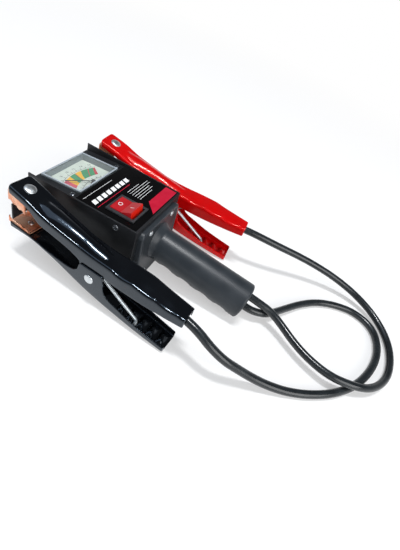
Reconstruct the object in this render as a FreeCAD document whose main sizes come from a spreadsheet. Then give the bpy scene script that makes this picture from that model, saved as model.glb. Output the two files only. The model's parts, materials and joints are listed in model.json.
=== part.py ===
import FreeCAD, Part
import math
import os
import re
import Sketcher

# Hand-held battery load tester: a sheet-steel case with a pointer meter and a rocker switch,
# a moulded grip at its near end, and two spring clamps on heavy leads, parked on clip brackets.
# Millimetres, +Z up. The origin is the centre of the case's bottom face.
# The grip points along -Y, the meter end along +Y, the black clamp is on the -X side.

V = FreeCAD.Vector

SIZES = [
    # Sheet-steel case
    ("case_width", 86.0),
    ("case_length", 112.0),
    ("case_height", 68.0),
    ("sheet", 1.2),
    ("cover_sink", 0.5),
    ("deck_run", 48.0),
    ("step_drop", 3.0),
    ("far_drop", 7.5),
    ("film", 0.3),
    ("film_margin", 2.0),
    # Named clearances
    ("seat", 0.1),
    ("side_play", 0.35),
    ("bearing_play", 0.05),
    ("hole_play", 0.15),
    # Pointer meter
    ("meter_side", 13.0),
    ("meter_length", 43.0),
    ("meter_inset", 2.5),
    ("meter_wall", 0.9),
    ("meter_depth", 26.0),
    ("meter_rim", 1.0),
    ("bezel_rise", 1.5),
    ("bezel_bar", 1.6),
    ("window_thick", 1.0),
    ("dial_sink", 5.0),
    ("dial_thick", 0.8),
    ("axis_back", 14.0),
    ("needle_length", 26.0),
    ("needle_wide", 0.9),
    ("needle_thick", 0.5),
    ("needle_tail", 5.0),
    ("needle_lift", 2.0),
    ("arbor", 0.6),
    ("boss_radius", 1.5),
    ("boss_rise", 5.5),
    ("needle_rest", 45.0),
    ("core_radius", 2.6),
    ("air_gap", 0.5),
    ("coil_bar", 1.0),
    ("yoke_wall", 1.0),
    ("stud_radius", 2.0),
    ("stud_length", 9.0),
    ("stud_apart", 30.0),
    ("post_radius", 1.6),
    ("post_in", 8.0),
    # Rocker switch
    ("switch_from_left", 22.0),
    ("switch_from_near", 23.5),
    ("switch_width", 27.0),
    ("switch_length", 29.0),
    ("switch_rise", 1.6),
    ("switch_depth", 18.0),
    ("switch_bar", 1.9),
    ("switch_wall", 1.0),
    ("rocker_axis", 2.5),
    ("rocker_top", 7.0),
    ("rocker_dip", 2.4),
    ("rocker_base", 4.0),
    ("rocker_gap", 1.65),
    ("rocker_play", 0.5),
    ("rocker_tilt", 12.0),
    ("rocker_pin", 1.5),
    ("rocker_taper", 0.7),
    ("well_room", 3.5),
    ("blade_wide", 6.3),
    ("blade_thick", 0.8),
    ("blade_long", 9.0),
    ("blade_shift", 6.0),
    # Load resistor
    ("rail_wide", 8.0),
    ("rail_high", 7.0),
    ("rail_over", 4.0),
    ("strip_gap", 7.5),
    ("strip_thick", 1.2),
    ("strip_pitch", 9.0),
    ("strip_folds", 8),
    ("strip_span", 62.0),
    # Moulded handle
    ("flange_side", 6.0),
    ("flange_gap", 5.5),
    ("flange_base", 2.0),
    ("flange_thin", 4.5),
    ("flange_thick", 8.0),
    ("flange_round", 6.0),
    ("grip_drop", 33.7),
    ("grip_tilt", 7.1),
    ("grip_length", 112.0),
    ("grip_radius", 17.2),
    ("butt_radius", 19.2),
    ("butt_chamfer", 2.5),
    ("neck_radius", 22.0),
    ("neck_length", 16.0),
    ("bore_radius", 12.5),
    ("finger_count", 4),
    ("finger_pitch", 22.0),
    ("finger_first", 18.0),
    ("finger_round", 17.0),
    ("finger_deep", 1.8),
    ("plug_length", 10.0),
    # Screws
    ("screw_radius", 1.5),
    ("screw_head", 2.9),
    ("screw_rise", 1.1),
    ("screw_length", 6.0),
    ("side_screw_near", 20.3),
    ("side_screw_down", 5.9),
    ("flange_screw_out", 21.0),
    ("flange_screw_top", 5.5),
    ("flange_screw_low", 6.5),
    ("deck_screw_side", 8.0),
    ("deck_screw_near", 4.5),
    # Leads
    ("cable", 8.0),
    ("red_side", 6.0),
    ("red_up", 4.0),
    ("black_side", 0.5),
    ("black_down", 6.0),
    ("bar_thick", 1.6),
    ("clip_long", 12.0),
    ("clip_from_tail", 30.0),
    ("cable_gap", 1.1),
    ("lead_back", 12.0),
    ("crimp_long", 10.0),
    ("red_straight", 15.0),
    ("black_straight", 9.0),
    # Clamps
    ("clamp_gap", 26.0),
    ("pivot_from_far", 96.7),
    ("clamp_yaw", 4.5),
    ("pivot_height", 30.2),
    ("arm_width", 22.0),
    ("jaw_width", 25.5),
    ("hand_width", 25.0),
    ("tail_width", 18.0),
    ("low_tail_width", 21.5),
    ("arm_sheet", 1.3),
    ("arm_front", 88.0),
    ("arm_back", 90.0),
    ("low_back", 82.0),
    ("tip_rise", 43.4),
    ("jaw_end_rise", 38.7),
    ("ridge_rise", 33.0),
    ("heel_rise", 29.0),
    ("hand_rise", 24.3),
    ("tail_rise", 20.0),
    ("neck_run", 14.0),
    ("web_bow", 1.2),
    ("ridge_bow", 3.0),
    ("heel_bow", 5.8),
    ("jaw_flange", 5.5),
    ("ridge_flange", 7.6),
    ("hand_flange", 11.3),
    ("flange_deep", 8.0),
    ("ear_radius", 8.5),
    ("low_tip_rise", 0.8),
    ("low_mid_drop", 3.0),
    ("low_pivot_drop", 16.5),
    ("low_grip_drop", 23.0),
    ("low_flange", 4.2),
    ("low_ear_radius", 13.5),
    ("floor_gap", 0.1),
    ("pin_radius", 2.5),
    ("pin_head", 4.5),
    ("pin_head_rise", 1.4),
    ("jaw_length", 20.0),
    ("jaw_over", 2.7),
    ("lining_long", 19.2),
    ("jaw_sheet", 1.2),
    ("jaw_drop", 13.5),
    ("low_jaw_rise", 11.4),
    ("tooth_pitch", 6.4),
    ("tooth_deep", 1.6),
    ("jaw_rivet", 5.2),
    ("jaw_rivet_rise", 1.6),
    ("low_rivet", 2.6),
    ("spring_wire", 2.6),
    ("spring_radius", 6.0),
    ("spring_turns", 3),
    ("spring_pitch", 4.0),
    ("leg_reach", 50.0),
    ("hook_long", 9.5),
    # Clip brackets for the parked clamps
    ("tab_reach", 31.5),
    ("tab_thick", 1.5),
    ("tab_from_tip", 2.5),
    ("tab_foot", 10.5),
]

doc = FreeCAD.newDocument("battery_tester")
dims = doc.addObject("Spreadsheet::Sheet", "dims")
for row, (name, size) in enumerate(SIZES, start=1):
    dims.set(f"A{row}", name.replace("_", " "))
    dims.set(f"B{row}", str(size))
    dims.setAlias(f"B{row}", name)
doc.recompute()

NAMES = {name for name, _ in SIZES}
NODES = []


def bound(text):
    """An expression on the sheet: each size's name gets the sheet's name in front."""
    return re.sub(r"[a-z]\w+", lambda word: "dims." + word[0] if word[0] in NAMES else word[0], text)


def size(text):
    """The number that an expression on the sheet has now."""
    value = dims.evalExpression(bound(str(text)))
    return float(getattr(value, "Value", value))


def node(obj, label):
    """Give a finished sub-part its own label and put it on the list of files to write."""
    obj.Label = label
    NODES.append(obj)
    return obj


def place(obj, x, y, z, axis=(0, 0, 1), angle="0"):
    """Bind an object's Placement to the sheet: a point, and a turn about one axis."""
    base = "create(<<vector>>; %s; %s; %s)" % (bound(str(x)), bound(str(y)), bound(str(z)))
    turn = "create(<<rotation>>; create(<<vector>>; %d; %d; %d); %s)" % (*axis, bound(str(angle)))
    obj.setExpression("Placement", "create(<<placement>>; %s; %s)" % (base, turn))
    return obj


def box(name, x0, x1, y0, y1, z0, z1):
    """A block between two corners, every coordinate an expression on the sheet."""
    block = doc.addObject("Part::Box", name)
    for side, low, high in (("Length", x0, x1), ("Width", y0, y1), ("Height", z0, z1)):
        block.setExpression(side, bound("(%s) - (%s)" % (high, low)))
    return place(block, x0, y0, z0)


def rod(name, radius, length, x, y, z, axis=(0, 0, 1), angle="0"):
    """A cylinder from a point, along +Z turned about an axis."""
    cylinder = doc.addObject("Part::Cylinder", name)
    cylinder.setExpression("Radius", bound(str(radius)))
    cylinder.setExpression("Height", bound(str(length)))
    return place(cylinder, x, y, z, axis, angle)


def cone(name, radius, end_radius, length, x, y, z, axis=(0, 0, 1), angle="0"):
    """A cone frustum from a point, along +Z turned about an axis."""
    frustum = doc.addObject("Part::Cone", name)
    frustum.setExpression("Radius1", bound(str(radius)))
    frustum.setExpression("Radius2", bound(str(end_radius)))
    frustum.setExpression("Height", bound(str(length)))
    return place(frustum, x, y, z, axis, angle)


def cut(name, base, *tools):
    """The base less the tools."""
    tool = tools[0] if len(tools) == 1 else fuse(name + "_tools", *tools)
    result = doc.addObject("Part::Cut", name)
    result.Base = base
    result.Tool = tool
    return result


def fuse(name, *pieces):
    """One solid of several overlapping pieces."""
    result = doc.addObject("Part::MultiFuse", name)
    result.Shapes = list(pieces)
    return result


def outline(body, name, plane, points):
    """A closed polygon on one of a body's origin planes, each corner bound to the sheet."""
    sketch = body.newObject("Sketcher::SketchObject", name)
    sketch.AttachmentSupport = [(next(f for f in body.Origin.OriginFeatures if f.Role == plane), "")]
    sketch.MapMode = "FlatFace"
    corners = [V(size(x), size(y), 0) for x, y in points]
    count = len(corners)
    for i in range(count):
        sketch.addGeometry(Part.LineSegment(corners[i], corners[(i + 1) % count]), False)
    for i in range(count):
        sketch.addConstraint(Sketcher.Constraint("Coincident", i, 2, (i + 1) % count, 1))
    for i, (x, y) in enumerate(points):
        for kind, text, value in (("DistanceX", x, corners[i].x), ("DistanceY", y, corners[i].y)):
            index = sketch.addConstraint(Sketcher.Constraint(kind, -1, 1, i, 1, value))
            sketch.setExpression(f"Constraints[{index}]", bound(str(text)))
    return sketch


def pad(name, plane, points, length):
    """A body whose outline is padded to both sides of its plane alike."""
    body = doc.addObject("PartDesign::Body", name)
    feature = body.newObject("PartDesign::Pad", name + "_pad")
    feature.Profile = outline(body, name + "_outline", plane, points)
    feature.Midplane = True
    feature.setExpression("Length", bound(str(length)))
    return body


def pocket(body, name, plane, points, length):
    """Cut an outline out of a body, to both sides of its plane alike."""
    feature = body.newObject("PartDesign::Pocket", name)
    feature.Profile = outline(body, name + "_outline", plane, points)
    feature.Midplane = True
    feature.setExpression("Length", bound(str(length)))
    return feature


# Places that several pieces share, as expressions on the sheet
HALF_W = "(case_width/2)"
HALF_L = "(case_length/2)"
INNER = "(case_width - 2*sheet - 2*seat)"
TOP = "(case_height - cover_sink)"
FILM_TOP = f"({TOP} + film)"
STEP_Y = f"({HALF_L} - deck_run)"
DECK_NEAR = f"({TOP} - step_drop)"
DECK_FAR = "(case_height - far_drop)"
DECK_FALL = f"({DECK_NEAR} - {DECK_FAR})"
DECK_ANGLE = f"atan({DECK_FALL}/deck_run)"
METER_Y = f"({STEP_Y} + meter_inset + meter_length/2)"
METER_Z = f"({DECK_NEAR} - {DECK_FALL}*({METER_Y} - {STEP_Y})/deck_run)"
SWITCH_X = f"(switch_from_left - {HALF_W})"
SWITCH_Y = f"(switch_from_near - {HALF_L})"
BODY_W = "(switch_width - 2*switch_bar)"
BODY_L = "(switch_length - switch_bar)"
BODY_BASE = f"({TOP} - switch_depth)"
ROCKER_Z = f"({FILM_TOP} - rocker_axis)"
METER_W = "(case_width - 2*meter_side)"
CAVITY_W = f"({METER_W} - 2*bezel_bar)"
CAVITY_L = "(meter_length - 2*bezel_bar)"
METER_FLOOR = "(meter_wall - meter_depth)"
FACE = "(-dial_sink)"
COIL_OUT = "(core_radius + air_gap + coil_bar)"
YOKE_IN = f"({COIL_OUT} + air_gap)"
YOKE_TOP = "(-dial_sink - dial_thick - 3*yoke_wall)"
COIL_LOW = f"({METER_FLOOR} + boss_rise)"
COIL_HIGH = f"({YOKE_TOP} - air_gap)"
LOW_W = "(arm_width + 2*side_play + 2*arm_sheet)"
JAW_IN = "(jaw_width - 2*arm_sheet)"
TAIL_IN = "(tail_width - 2*arm_sheet)"
CABLE_RISE = "(tail_rise - arm_sheet - cable/2 - cable_gap)"
CLIP_FROM = "(arm_back - clip_from_tail)"
WEB_FALL = f"((hand_rise - tail_rise)*(2*({CLIP_FROM} + clip_long)/arm_back - 1))"
CLIP_TOP = f"(hand_rise - {WEB_FALL} - web_bow - arm_sheet - seat)"
RIVET_GRIP = "(arm_sheet + web_bow + jaw_sheet + 5*seat)"
RIVET_X = "(jaw_length/2 + arm_sheet - arm_front)"
RAIL_TOP = "(sheet + rail_high)"
STRIP_Y = f"({SWITCH_Y} - blade_shift - blade_thick/2 - bar_thick/2)"
FLANGE_W = "(case_width - 2*flange_side)"
FLANGE_TOP = f"({TOP} - flange_gap)"
GRIP_Z = f"({TOP} - grip_drop)"
LUG_BACK = "(lead_back + crimp_long)"
LEADS = (("red", "red_side", "red_up"), ("black", "black_side", "(-black_down)"))
CLAMP_X = f"({HALF_W} + clamp_gap)"
CLAMP_Y = f"({HALF_L} - pivot_from_far)"
JAW_SLOPE = "((tip_rise - jaw_end_rise)/jaw_length)"
TAB_Y = f"((arm_front - tab_from_tip)*cos(clamp_yaw) + {CLAMP_Y})"
LINING_EDGE = "(pivot_height + tip_rise - web_bow - arm_sheet - jaw_drop)"
TAB_HIGH = f"({LINING_EDGE} - {JAW_SLOPE}*tab_from_tip - 2*side_play)"
TAB_LOW = f"(pivot_height + low_jaw_rise - {JAW_SLOPE}*(tab_from_tip + jaw_over) + 2*side_play)"

# Screw places: side walls, handle flange and meter deck
SIDE_SCREWS = [(f"(side_screw_near - {HALF_L})", f"({TOP} - side_screw_down)"),
               (f"({TAB_Y} + 0.55*tab_foot)", f"(({TAB_LOW} + {TAB_HIGH})/2)")]
FLANGE_SCREWS = [(x, z) for z in (f"({FLANGE_TOP} - flange_screw_top)", "(flange_base + flange_screw_low)")
                 for x in ("(-flange_screw_out)", "flange_screw_out")]
DECK_SCREWS = [(x, "(deck_screw_near - meter_length/2)")
               for x in (f"(deck_screw_side - {HALF_W})", f"({HALF_W} - deck_screw_side)")]


def on_deck(obj, x="0", y="0", z="0"):
    """Place a meter piece on the sloping deck: x across, y along the slope, z square to it."""
    along = f"{METER_Y} + ({y})*cos({DECK_ANGLE}) + ({z})*sin({DECK_ANGLE})"
    up = f"{METER_Z} - ({y})*sin({DECK_ANGLE}) + ({z})*cos({DECK_ANGLE})"
    return place(obj, x, along, up, (1, 0, 0), f"-{DECK_ANGLE}")


def deck_box(name, wide, long, low, high, x="0", y="0"):
    """A block centred on a point of the deck, between two heights square to the deck."""
    block = doc.addObject("Part::Box", name)
    block.setExpression("Length", bound(str(wide)))
    block.setExpression("Width", bound(str(long)))
    block.setExpression("Height", bound("(%s) - (%s)" % (high, low)))
    return on_deck(block, f"({x}) - ({wide})/2", f"({y}) - ({long})/2", low)


def deck_rod(name, radius, low, high, x="0", y="0"):
    """A round piece square to the deck, between two heights."""
    cylinder = doc.addObject("Part::Cylinder", name)
    cylinder.setExpression("Radius", bound(str(radius)))
    cylinder.setExpression("Height", bound("(%s) - (%s)" % (high, low)))
    return on_deck(cylinder, x, y, low)


def spun_box(name, x0, x1, y0, y1, z0, z1):
    """A block of the movement, turned with the pointer about its axis to the pointer's rest."""
    block = doc.addObject("Part::Box", name)
    for side, low, high in (("Length", x0, x1), ("Width", y0, y1), ("Height", z0, z1)):
        block.setExpression(side, bound("(%s) - (%s)" % (high, low)))
    corner_x = f"({x0})*cos(needle_rest) - ({y0})*sin(needle_rest)"
    corner_y = f"({x0})*sin(needle_rest) + ({y0})*cos(needle_rest)"
    return place(block, corner_x, corner_y, z0, (0, 0, 1), "needle_rest")


def along_grip(reach, side="0", up="0"):
    """A point of the handle: so far along its sloping axis, to the side and square up from it."""
    return (side, f"-{HALF_L} - ({reach})*cos(grip_tilt) - ({up})*sin(grip_tilt)",
            f"{GRIP_Z} - ({reach})*sin(grip_tilt) + ({up})*cos(grip_tilt)")


def grip_rod(name, radius, start, end, side="0", up="0"):
    """A round piece along the handle's axis."""
    return rod(name, radius, f"({end}) - ({start})", *along_grip(start, side, up), (1, 0, 0), "90 + grip_tilt")


def flange_seat(z):
    """The plane that a handle screw's head seats on, a little below the flange's sloping face."""
    slope = f"(flange_thick - (flange_thick - flange_thin)*({z} - flange_base)/({FLANGE_TOP} - flange_base))"
    return f"(-{HALF_L} - {slope} + 4*seat)"


def lug_point(up):
    """Where a lead's crimped barrel ends inside the case, so far up from the handle's axis: y and z."""
    return (f"(-{HALF_L} + {LUG_BACK}*cos(grip_tilt) - ({up})*sin(grip_tilt))",
            f"({GRIP_Z} + {LUG_BACK}*sin(grip_tilt) + ({up})*cos(grip_tilt))")


STRIP_TOP = f"({lug_point(LEADS[1][2])[1]} - bar_thick/2 - strip_gap)"


def switch_box(name, wide, long, low, high):
    """A block centred on the switch, between two heights."""
    return box(name, f"{SWITCH_X} - ({wide})/2", f"{SWITCH_X} + ({wide})/2", f"{SWITCH_Y} - ({long})/2",
               f"{SWITCH_Y} + ({long})/2", low, high)


def make_case():
    """Bottom and side walls folded from one sheet; top, deck and ends folded from another."""
    inner_left, inner_right = f"sheet - {HALF_W}", f"{HALF_W} - sheet"
    wall = [(f"-{HALF_W}", "0"), (HALF_W, "0"), (HALF_W, "case_height"), (inner_right, "case_height"),
            (inner_right, "sheet"), (inner_left, "sheet"), (inner_left, "case_height"),
            (f"-{HALF_W}", "case_height")]
    tray = pad("tray_sheet", "XZ_Plane", wall, "case_length")
    holes = [rod(f"tray_hole_{i}", "screw_radius + hole_play", "case_width + 2", f"-{HALF_W} - 1", y, z,
                 (0, 1, 0), "90") for i, (y, z) in enumerate(SIDE_SCREWS)]
    node(cut("tray", tray, *holes), "base_tray")

    lap = f"{STEP_Y} - sheet"
    near, far = f"sheet - {HALF_L}", f"{HALF_L} - sheet"
    fold = [(f"-{HALF_L}", "sheet"), (f"-{HALF_L}", TOP), (STEP_Y, TOP), (STEP_Y, DECK_NEAR),
            (HALF_L, DECK_FAR), (HALF_L, "sheet"), (far, "sheet"), (far, f"{DECK_FAR} - sheet"),
            (lap, f"{DECK_NEAR} - sheet"), (lap, f"{TOP} - sheet"), (near, f"{TOP} - sheet"), (near, "sheet")]
    folded = pad("cover_sheet", "YZ_Plane", fold, INNER)
    low = f"{SIDE_SCREWS[1][1]} - screw_head - sheet"
    lip = [(near, low), (near, f"{TOP} - sheet/2"), (lap, f"{TOP} - sheet/2"), (lap, f"{DECK_NEAR} - sheet/2"),
           (far, f"{DECK_FAR} - sheet/2"), (far, low)]
    lips = [place(pad(f"cover_lip_{i}", "YZ_Plane", lip, "sheet"), f"{turn}*({INNER} - sheet)/2", "0", "0")
            for i, turn in enumerate(("-1", "1"))]
    holes = [deck_box("cover_meter_hole", f"{CAVITY_W} + 2*meter_wall + 2*seat",
                      f"{CAVITY_L} + 2*meter_wall + 2*seat", "-4*sheet", "step_drop + 2*sheet"),
             switch_box("cover_switch_hole", f"{BODY_W} + 2*seat", f"{BODY_L} + 2*seat", f"{TOP} - 3*sheet",
                        f"{TOP} + 1"),
             grip_rod("cover_cable_hole", "bore_radius", "-4*sheet", "4*sheet")]
    holes += [rod(f"cover_screw_hole_{i}", "screw_radius + hole_play", "case_width", f"-{HALF_W}", y, z,
                  (0, 1, 0), "90") for i, (y, z) in enumerate(SIDE_SCREWS)]
    holes += [rod(f"cover_flange_hole_{i}", "screw_radius + hole_play", "4*sheet", x, f"-{HALF_L} - 2*sheet", z,
                  (1, 0, 0), "-90") for i, (x, z) in enumerate(FLANGE_SCREWS)]
    holes += [deck_rod(f"cover_deck_hole_{i}", "screw_radius + hole_play", "-4*sheet", "sheet", x, y)
              for i, (x, y) in enumerate(DECK_SCREWS)]
    node(cut("cover", fuse("cover_whole", folded, *lips), *holes), "top_cover")

    film = box("film_sheet", f"film_margin - {HALF_W}", f"{HALF_W} - film_margin", f"film_margin - {HALF_L}",
               f"{STEP_Y} - film_margin/4", TOP, FILM_TOP)
    film_hole = switch_box("film_hole", f"{BODY_W} + 2*seat", f"{BODY_L} + 2*seat", f"{TOP} - 1", f"{TOP} + 1")
    node(cut("film_cut", film, film_hole), "label_film")


def screw(name, x, y, z, axis, angle, length="screw_length"):
    """A pan-head screw; its head's underside is at the point and its shank runs along +Z turned."""
    head = cone(name + "_head", "screw_head - screw_rise", "screw_head", "screw_rise", "0", "0", "-screw_rise")
    shank = rod(name + "_shank", "screw_radius", length, "0", "0", "0")
    return node(place(fuse(name + "_whole", head, shank), x, y, z, axis, angle), name)


def make_screws():
    """Case side screws, handle flange screws and the two screws beside the meter."""
    for i, ((y, z), face) in enumerate(zip(SIDE_SCREWS, (HALF_W, f"({HALF_W} + tab_thick)"))):
        screw(f"side_screw_left_{i + 1}", f"-{face}", y, z, (0, 1, 0), "90")
        screw(f"side_screw_right_{i + 1}", face, y, z, (0, 1, 0), "-90")
    for i, (x, z) in enumerate(FLANGE_SCREWS):
        depth = f"-{HALF_L} - {flange_seat(z)} + sheet + screw_radius"
        screw(f"handle_screw_{i + 1}", x, flange_seat(z), z, (1, 0, 0), "-90", depth)
    for i, (x, y) in enumerate(DECK_SCREWS):
        node(on_deck(fuse(f"deck_screw_{i}", rod(f"deck_head_{i}", "screw_head", "screw_rise", "0", "0", "0"),
                          rod(f"deck_shank_{i}", "screw_radius", "screw_length", "0", "0", "-screw_length")),
                     x, y), f"meter_screw_{i + 1}")


def make_meter():
    """Moving-coil meter: case, bezel, window, dial, and a core-magnet movement under the dial."""
    posts = [deck_rod(f"meter_post_{i}", "post_radius", METER_FLOOR, f"{FACE} - dial_thick", x,
                      f"{CAVITY_L}/2 - post_in")
             for i, x in enumerate((f"post_in - {CAVITY_W}/2", f"{CAVITY_W}/2 - post_in"))]
    shell = fuse("meter_shell", deck_box("meter_block", f"{CAVITY_W} + 2*meter_wall",
                                         f"{CAVITY_L} + 2*meter_wall", "-meter_depth", "0"),
                 deck_box("meter_rim_plate", METER_W, "meter_length", "0", "meter_rim"))
    cavity = deck_box("meter_cavity", CAVITY_W, CAVITY_L, METER_FLOOR, "2*meter_rim")
    hollow = cut("meter_hollow", shell, cavity)
    boss = deck_rod("meter_boss", "boss_radius", METER_FLOOR, f"{COIL_LOW} - air_gap", "0", "-axis_back")
    jewel = deck_rod("meter_jewel", "arbor + bearing_play", f"{COIL_LOW} - 5*arbor", COIL_LOW, "0",
                     "-axis_back")
    node(cut("meter_case_cut", fuse("meter_case_whole", hollow, boss, *posts), jewel), "meter_case")

    frame = deck_box("bezel_block", METER_W, "meter_length", "meter_rim", "meter_rim + bezel_rise")
    sight = deck_box("bezel_sight", CAVITY_W, CAVITY_L, "0", "meter_rim + 2*bezel_rise")
    pane_w, pane_l = f"{CAVITY_W} + bezel_bar/2", f"{CAVITY_L} + bezel_bar/2"
    seat_cut = deck_box("bezel_seat", f"{pane_w} + 2*seat", f"{pane_l} + 2*seat", "0",
                        "meter_rim + window_thick")
    node(cut("bezel_cut", frame, sight, seat_cut), "meter_bezel")
    node(deck_box("pane", pane_w, pane_l, "meter_rim", "meter_rim + window_thick"), "meter_window")

    dial = deck_box("dial_sheet", f"{CAVITY_W} - 2*seat", f"{CAVITY_L} - 2*seat", f"{FACE} - dial_thick", FACE)
    dial_hole = deck_rod("dial_hole", "core_radius", f"{FACE} - 2*dial_thick", f"{FACE} + dial_thick", "0",
                         "-axis_back")
    node(cut("dial_cut", dial, dial_hole), "dial_plate")

    # Movement, on the pointer's axis: yoke ring on the case floor, core magnet on a strap, bridge on the ring
    ring = deck_rod("yoke_round", f"{YOKE_IN} + yoke_wall", METER_FLOOR, YOKE_TOP, "0", "-axis_back")
    ring_bore = deck_rod("yoke_bore", YOKE_IN, f"{METER_FLOOR} - yoke_wall", f"{YOKE_TOP} + yoke_wall", "0",
                         "-axis_back")
    node(cut("yoke_ring_cut", ring, ring_bore), "yoke_ring")
    mid = f"(({COIL_LOW} + {COIL_HIGH})/2)"
    core = deck_rod("core_round", "core_radius", f"{COIL_LOW} + coil_bar + air_gap",
                    f"{COIL_HIGH} - coil_bar - air_gap", "0", "-axis_back")
    strap = deck_box("core_strap", f"2*{YOKE_IN} - 2*seat", "coil_bar", f"{mid} - coil_bar",
                     f"{mid} + coil_bar", "0", "-axis_back")
    node(fuse("core_whole", core, strap), "core_magnet")
    bar = deck_box("bridge_bar", f"2*{YOKE_IN} + 2*yoke_wall", "2*boss_radius", YOKE_TOP,
                   f"{YOKE_TOP} + yoke_wall", "0", "-axis_back")
    bar_hole = deck_rod("bridge_hole", "arbor + bearing_play", f"{YOKE_TOP} - yoke_wall",
                        f"{YOKE_TOP} + 2*yoke_wall", "0", "-axis_back")
    node(cut("bridge_cut", bar, bar_hole), "jewel_bridge")

    # Pointer and coil turn together; at rest the pointer lies at the dial's left end
    half = f"({COIL_OUT} - coil_bar)"
    loop = cut("coil_loop", spun_box("coil_block", "-coil_bar", "coil_bar", f"-{COIL_OUT}", COIL_OUT, COIL_LOW,
                                     COIL_HIGH),
               spun_box("coil_window", "-2*coil_bar", "2*coil_bar", f"-{half}", half, f"{COIL_LOW} + coil_bar",
                        f"{COIL_HIGH} - coil_bar"))
    pivot = rod("coil_pivot", "arbor", "3*arbor + coil_bar/2", "0", "0", f"{COIL_LOW} - 3*arbor")
    node(on_deck(fuse("coil_whole", loop, pivot), "0", "-axis_back"), "moving_coil")
    needle_z = f"({FACE} + needle_lift)"
    shaft = rod("needle_arbor", "arbor", f"{needle_z} - {COIL_HIGH}", "0", "0", COIL_HIGH)
    hub = rod("needle_hub", "3*arbor", "3*needle_thick", "0", "0", f"{needle_z} - needle_thick")
    blade = spun_box("needle_bar", "-needle_wide/2", "needle_wide/2", "-needle_tail", "needle_length", needle_z,
                     f"{needle_z} + needle_thick")
    node(on_deck(fuse("needle_whole", shaft, hub, blade), "0", "-axis_back"), "meter_needle")

    for i, x in enumerate(("-stud_apart/2", "stud_apart/2")):
        thread = rod(f"stud_thread_{i}", "stud_radius", "stud_length", "0", "0", "0")
        collar = doc.addObject("Part::Prism", f"stud_collar_{i}")
        collar.Polygon = 6
        collar.setExpression("Circumradius", bound("2*stud_radius"))
        collar.setExpression("Height", bound("1.5*stud_radius"))
        place(collar, "0", "0", "stud_length - 1.5*stud_radius")
        stud = fuse(f"stud_{i}", thread, collar)
        node(on_deck(stud, x, "0", "-meter_depth - stud_length"), f"meter_stud_{i + 1}")


def make_switch():
    """Momentary rocker switch: frame with body, rocker on two stub pins, two blade terminals."""
    flange = switch_box("switch_flange", "switch_width", "switch_length", FILM_TOP, f"{FILM_TOP} + switch_rise")
    trunk = switch_box("switch_trunk", BODY_W, BODY_L, BODY_BASE, f"{FILM_TOP} + switch_rise/2")
    well = switch_box("switch_well", f"{BODY_W} - 2*switch_wall", f"{BODY_L} - 2*switch_wall",
                      f"{ROCKER_Z} - rocker_base - well_room", f"{FILM_TOP} + 2*switch_rise")
    pins = rod("switch_pin_hole", "rocker_pin + bearing_play", f"{BODY_W} - switch_wall + 2*bearing_play",
               f"{SWITCH_X} - {BODY_W}/2 + switch_wall/2 - bearing_play", SWITCH_Y, ROCKER_Z, (0, 1, 0), "90")
    node(cut("switch_cut", fuse("switch_solid", flange, trunk), well, pins), "switch_frame")

    half = f"({BODY_L}/2 - switch_wall - rocker_gap)"
    side = [(f"-{half}", "rocker_top"), ("0", "rocker_top - rocker_dip"), (half, "rocker_top"),
            (f"{half} - rocker_taper", "-rocker_base"), (f"rocker_taper - {half}", "-rocker_base")]
    cap = pad("rocker_cap", "YZ_Plane", side, f"{BODY_W} - 2*switch_wall - 2*rocker_play")
    stub = rod("rocker_stub", "rocker_pin", f"{BODY_W} - switch_wall", f"-({BODY_W} - switch_wall)/2", "0", "0",
               (0, 1, 0), "90")
    node(place(fuse("rocker_whole", cap, stub), SWITCH_X, SWITCH_Y, ROCKER_Z, (1, 0, 0), "-rocker_tilt"),
         "switch_rocker")
    for i, turn in enumerate(("-", "+")):
        y = f"({SWITCH_Y} {turn} blade_shift)"
        blade = box(f"blade_{i}", f"{SWITCH_X} - blade_wide/2", f"{SWITCH_X} + blade_wide/2",
                    f"{y} - blade_thick/2", f"{y} + blade_thick/2", f"{BODY_BASE} - blade_long", BODY_BASE)
        node(blade, f"switch_blade_{i + 1}")


def make_load():
    """Load resistor: a folded steel strip on two ceramic rails, with bars to the switch and the leads."""
    end = f"({STRIP_Y} + strip_folds*strip_pitch)"
    for name, x in (("left", "(rail_wide - strip_span/2)"), ("right", "(strip_span/2 - rail_wide)")):
        node(box(f"rail_{name}", f"{x} - rail_wide/2", f"{x} + rail_wide/2", f"{STRIP_Y} - rail_over",
                 f"{end} + rail_over", "sheet", RAIL_TOP), f"ceramic_rail_{name}")
    runs = []
    count = int(size("strip_folds"))
    for i in range(count + 1):
        y = f"({STRIP_Y} + {i}*strip_pitch)"
        runs.append(box(f"strip_run_{i}", "-strip_span/2", "strip_span/2", f"{y} - strip_thick/2",
                        f"{y} + strip_thick/2", RAIL_TOP, STRIP_TOP))
        if i < count:
            x = "strip_span/2 - strip_thick" if i % 2 == 0 else "-strip_span/2"
            runs.append(box(f"strip_turn_{i}", x, f"{x} + strip_thick", y, f"{y} + strip_pitch", RAIL_TOP,
                            STRIP_TOP))
    node(fuse("strip_whole", *runs), "load_strip")

    blade = f"({SWITCH_Y} - blade_shift - blade_thick/2)"
    node(box("bar_load", f"{SWITCH_X} - blade_wide/2", f"{SWITCH_X} + blade_wide/2", f"{blade} - bar_thick",
             blade, STRIP_TOP, f"{BODY_BASE} - switch_wall"), "load_bar")


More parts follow.
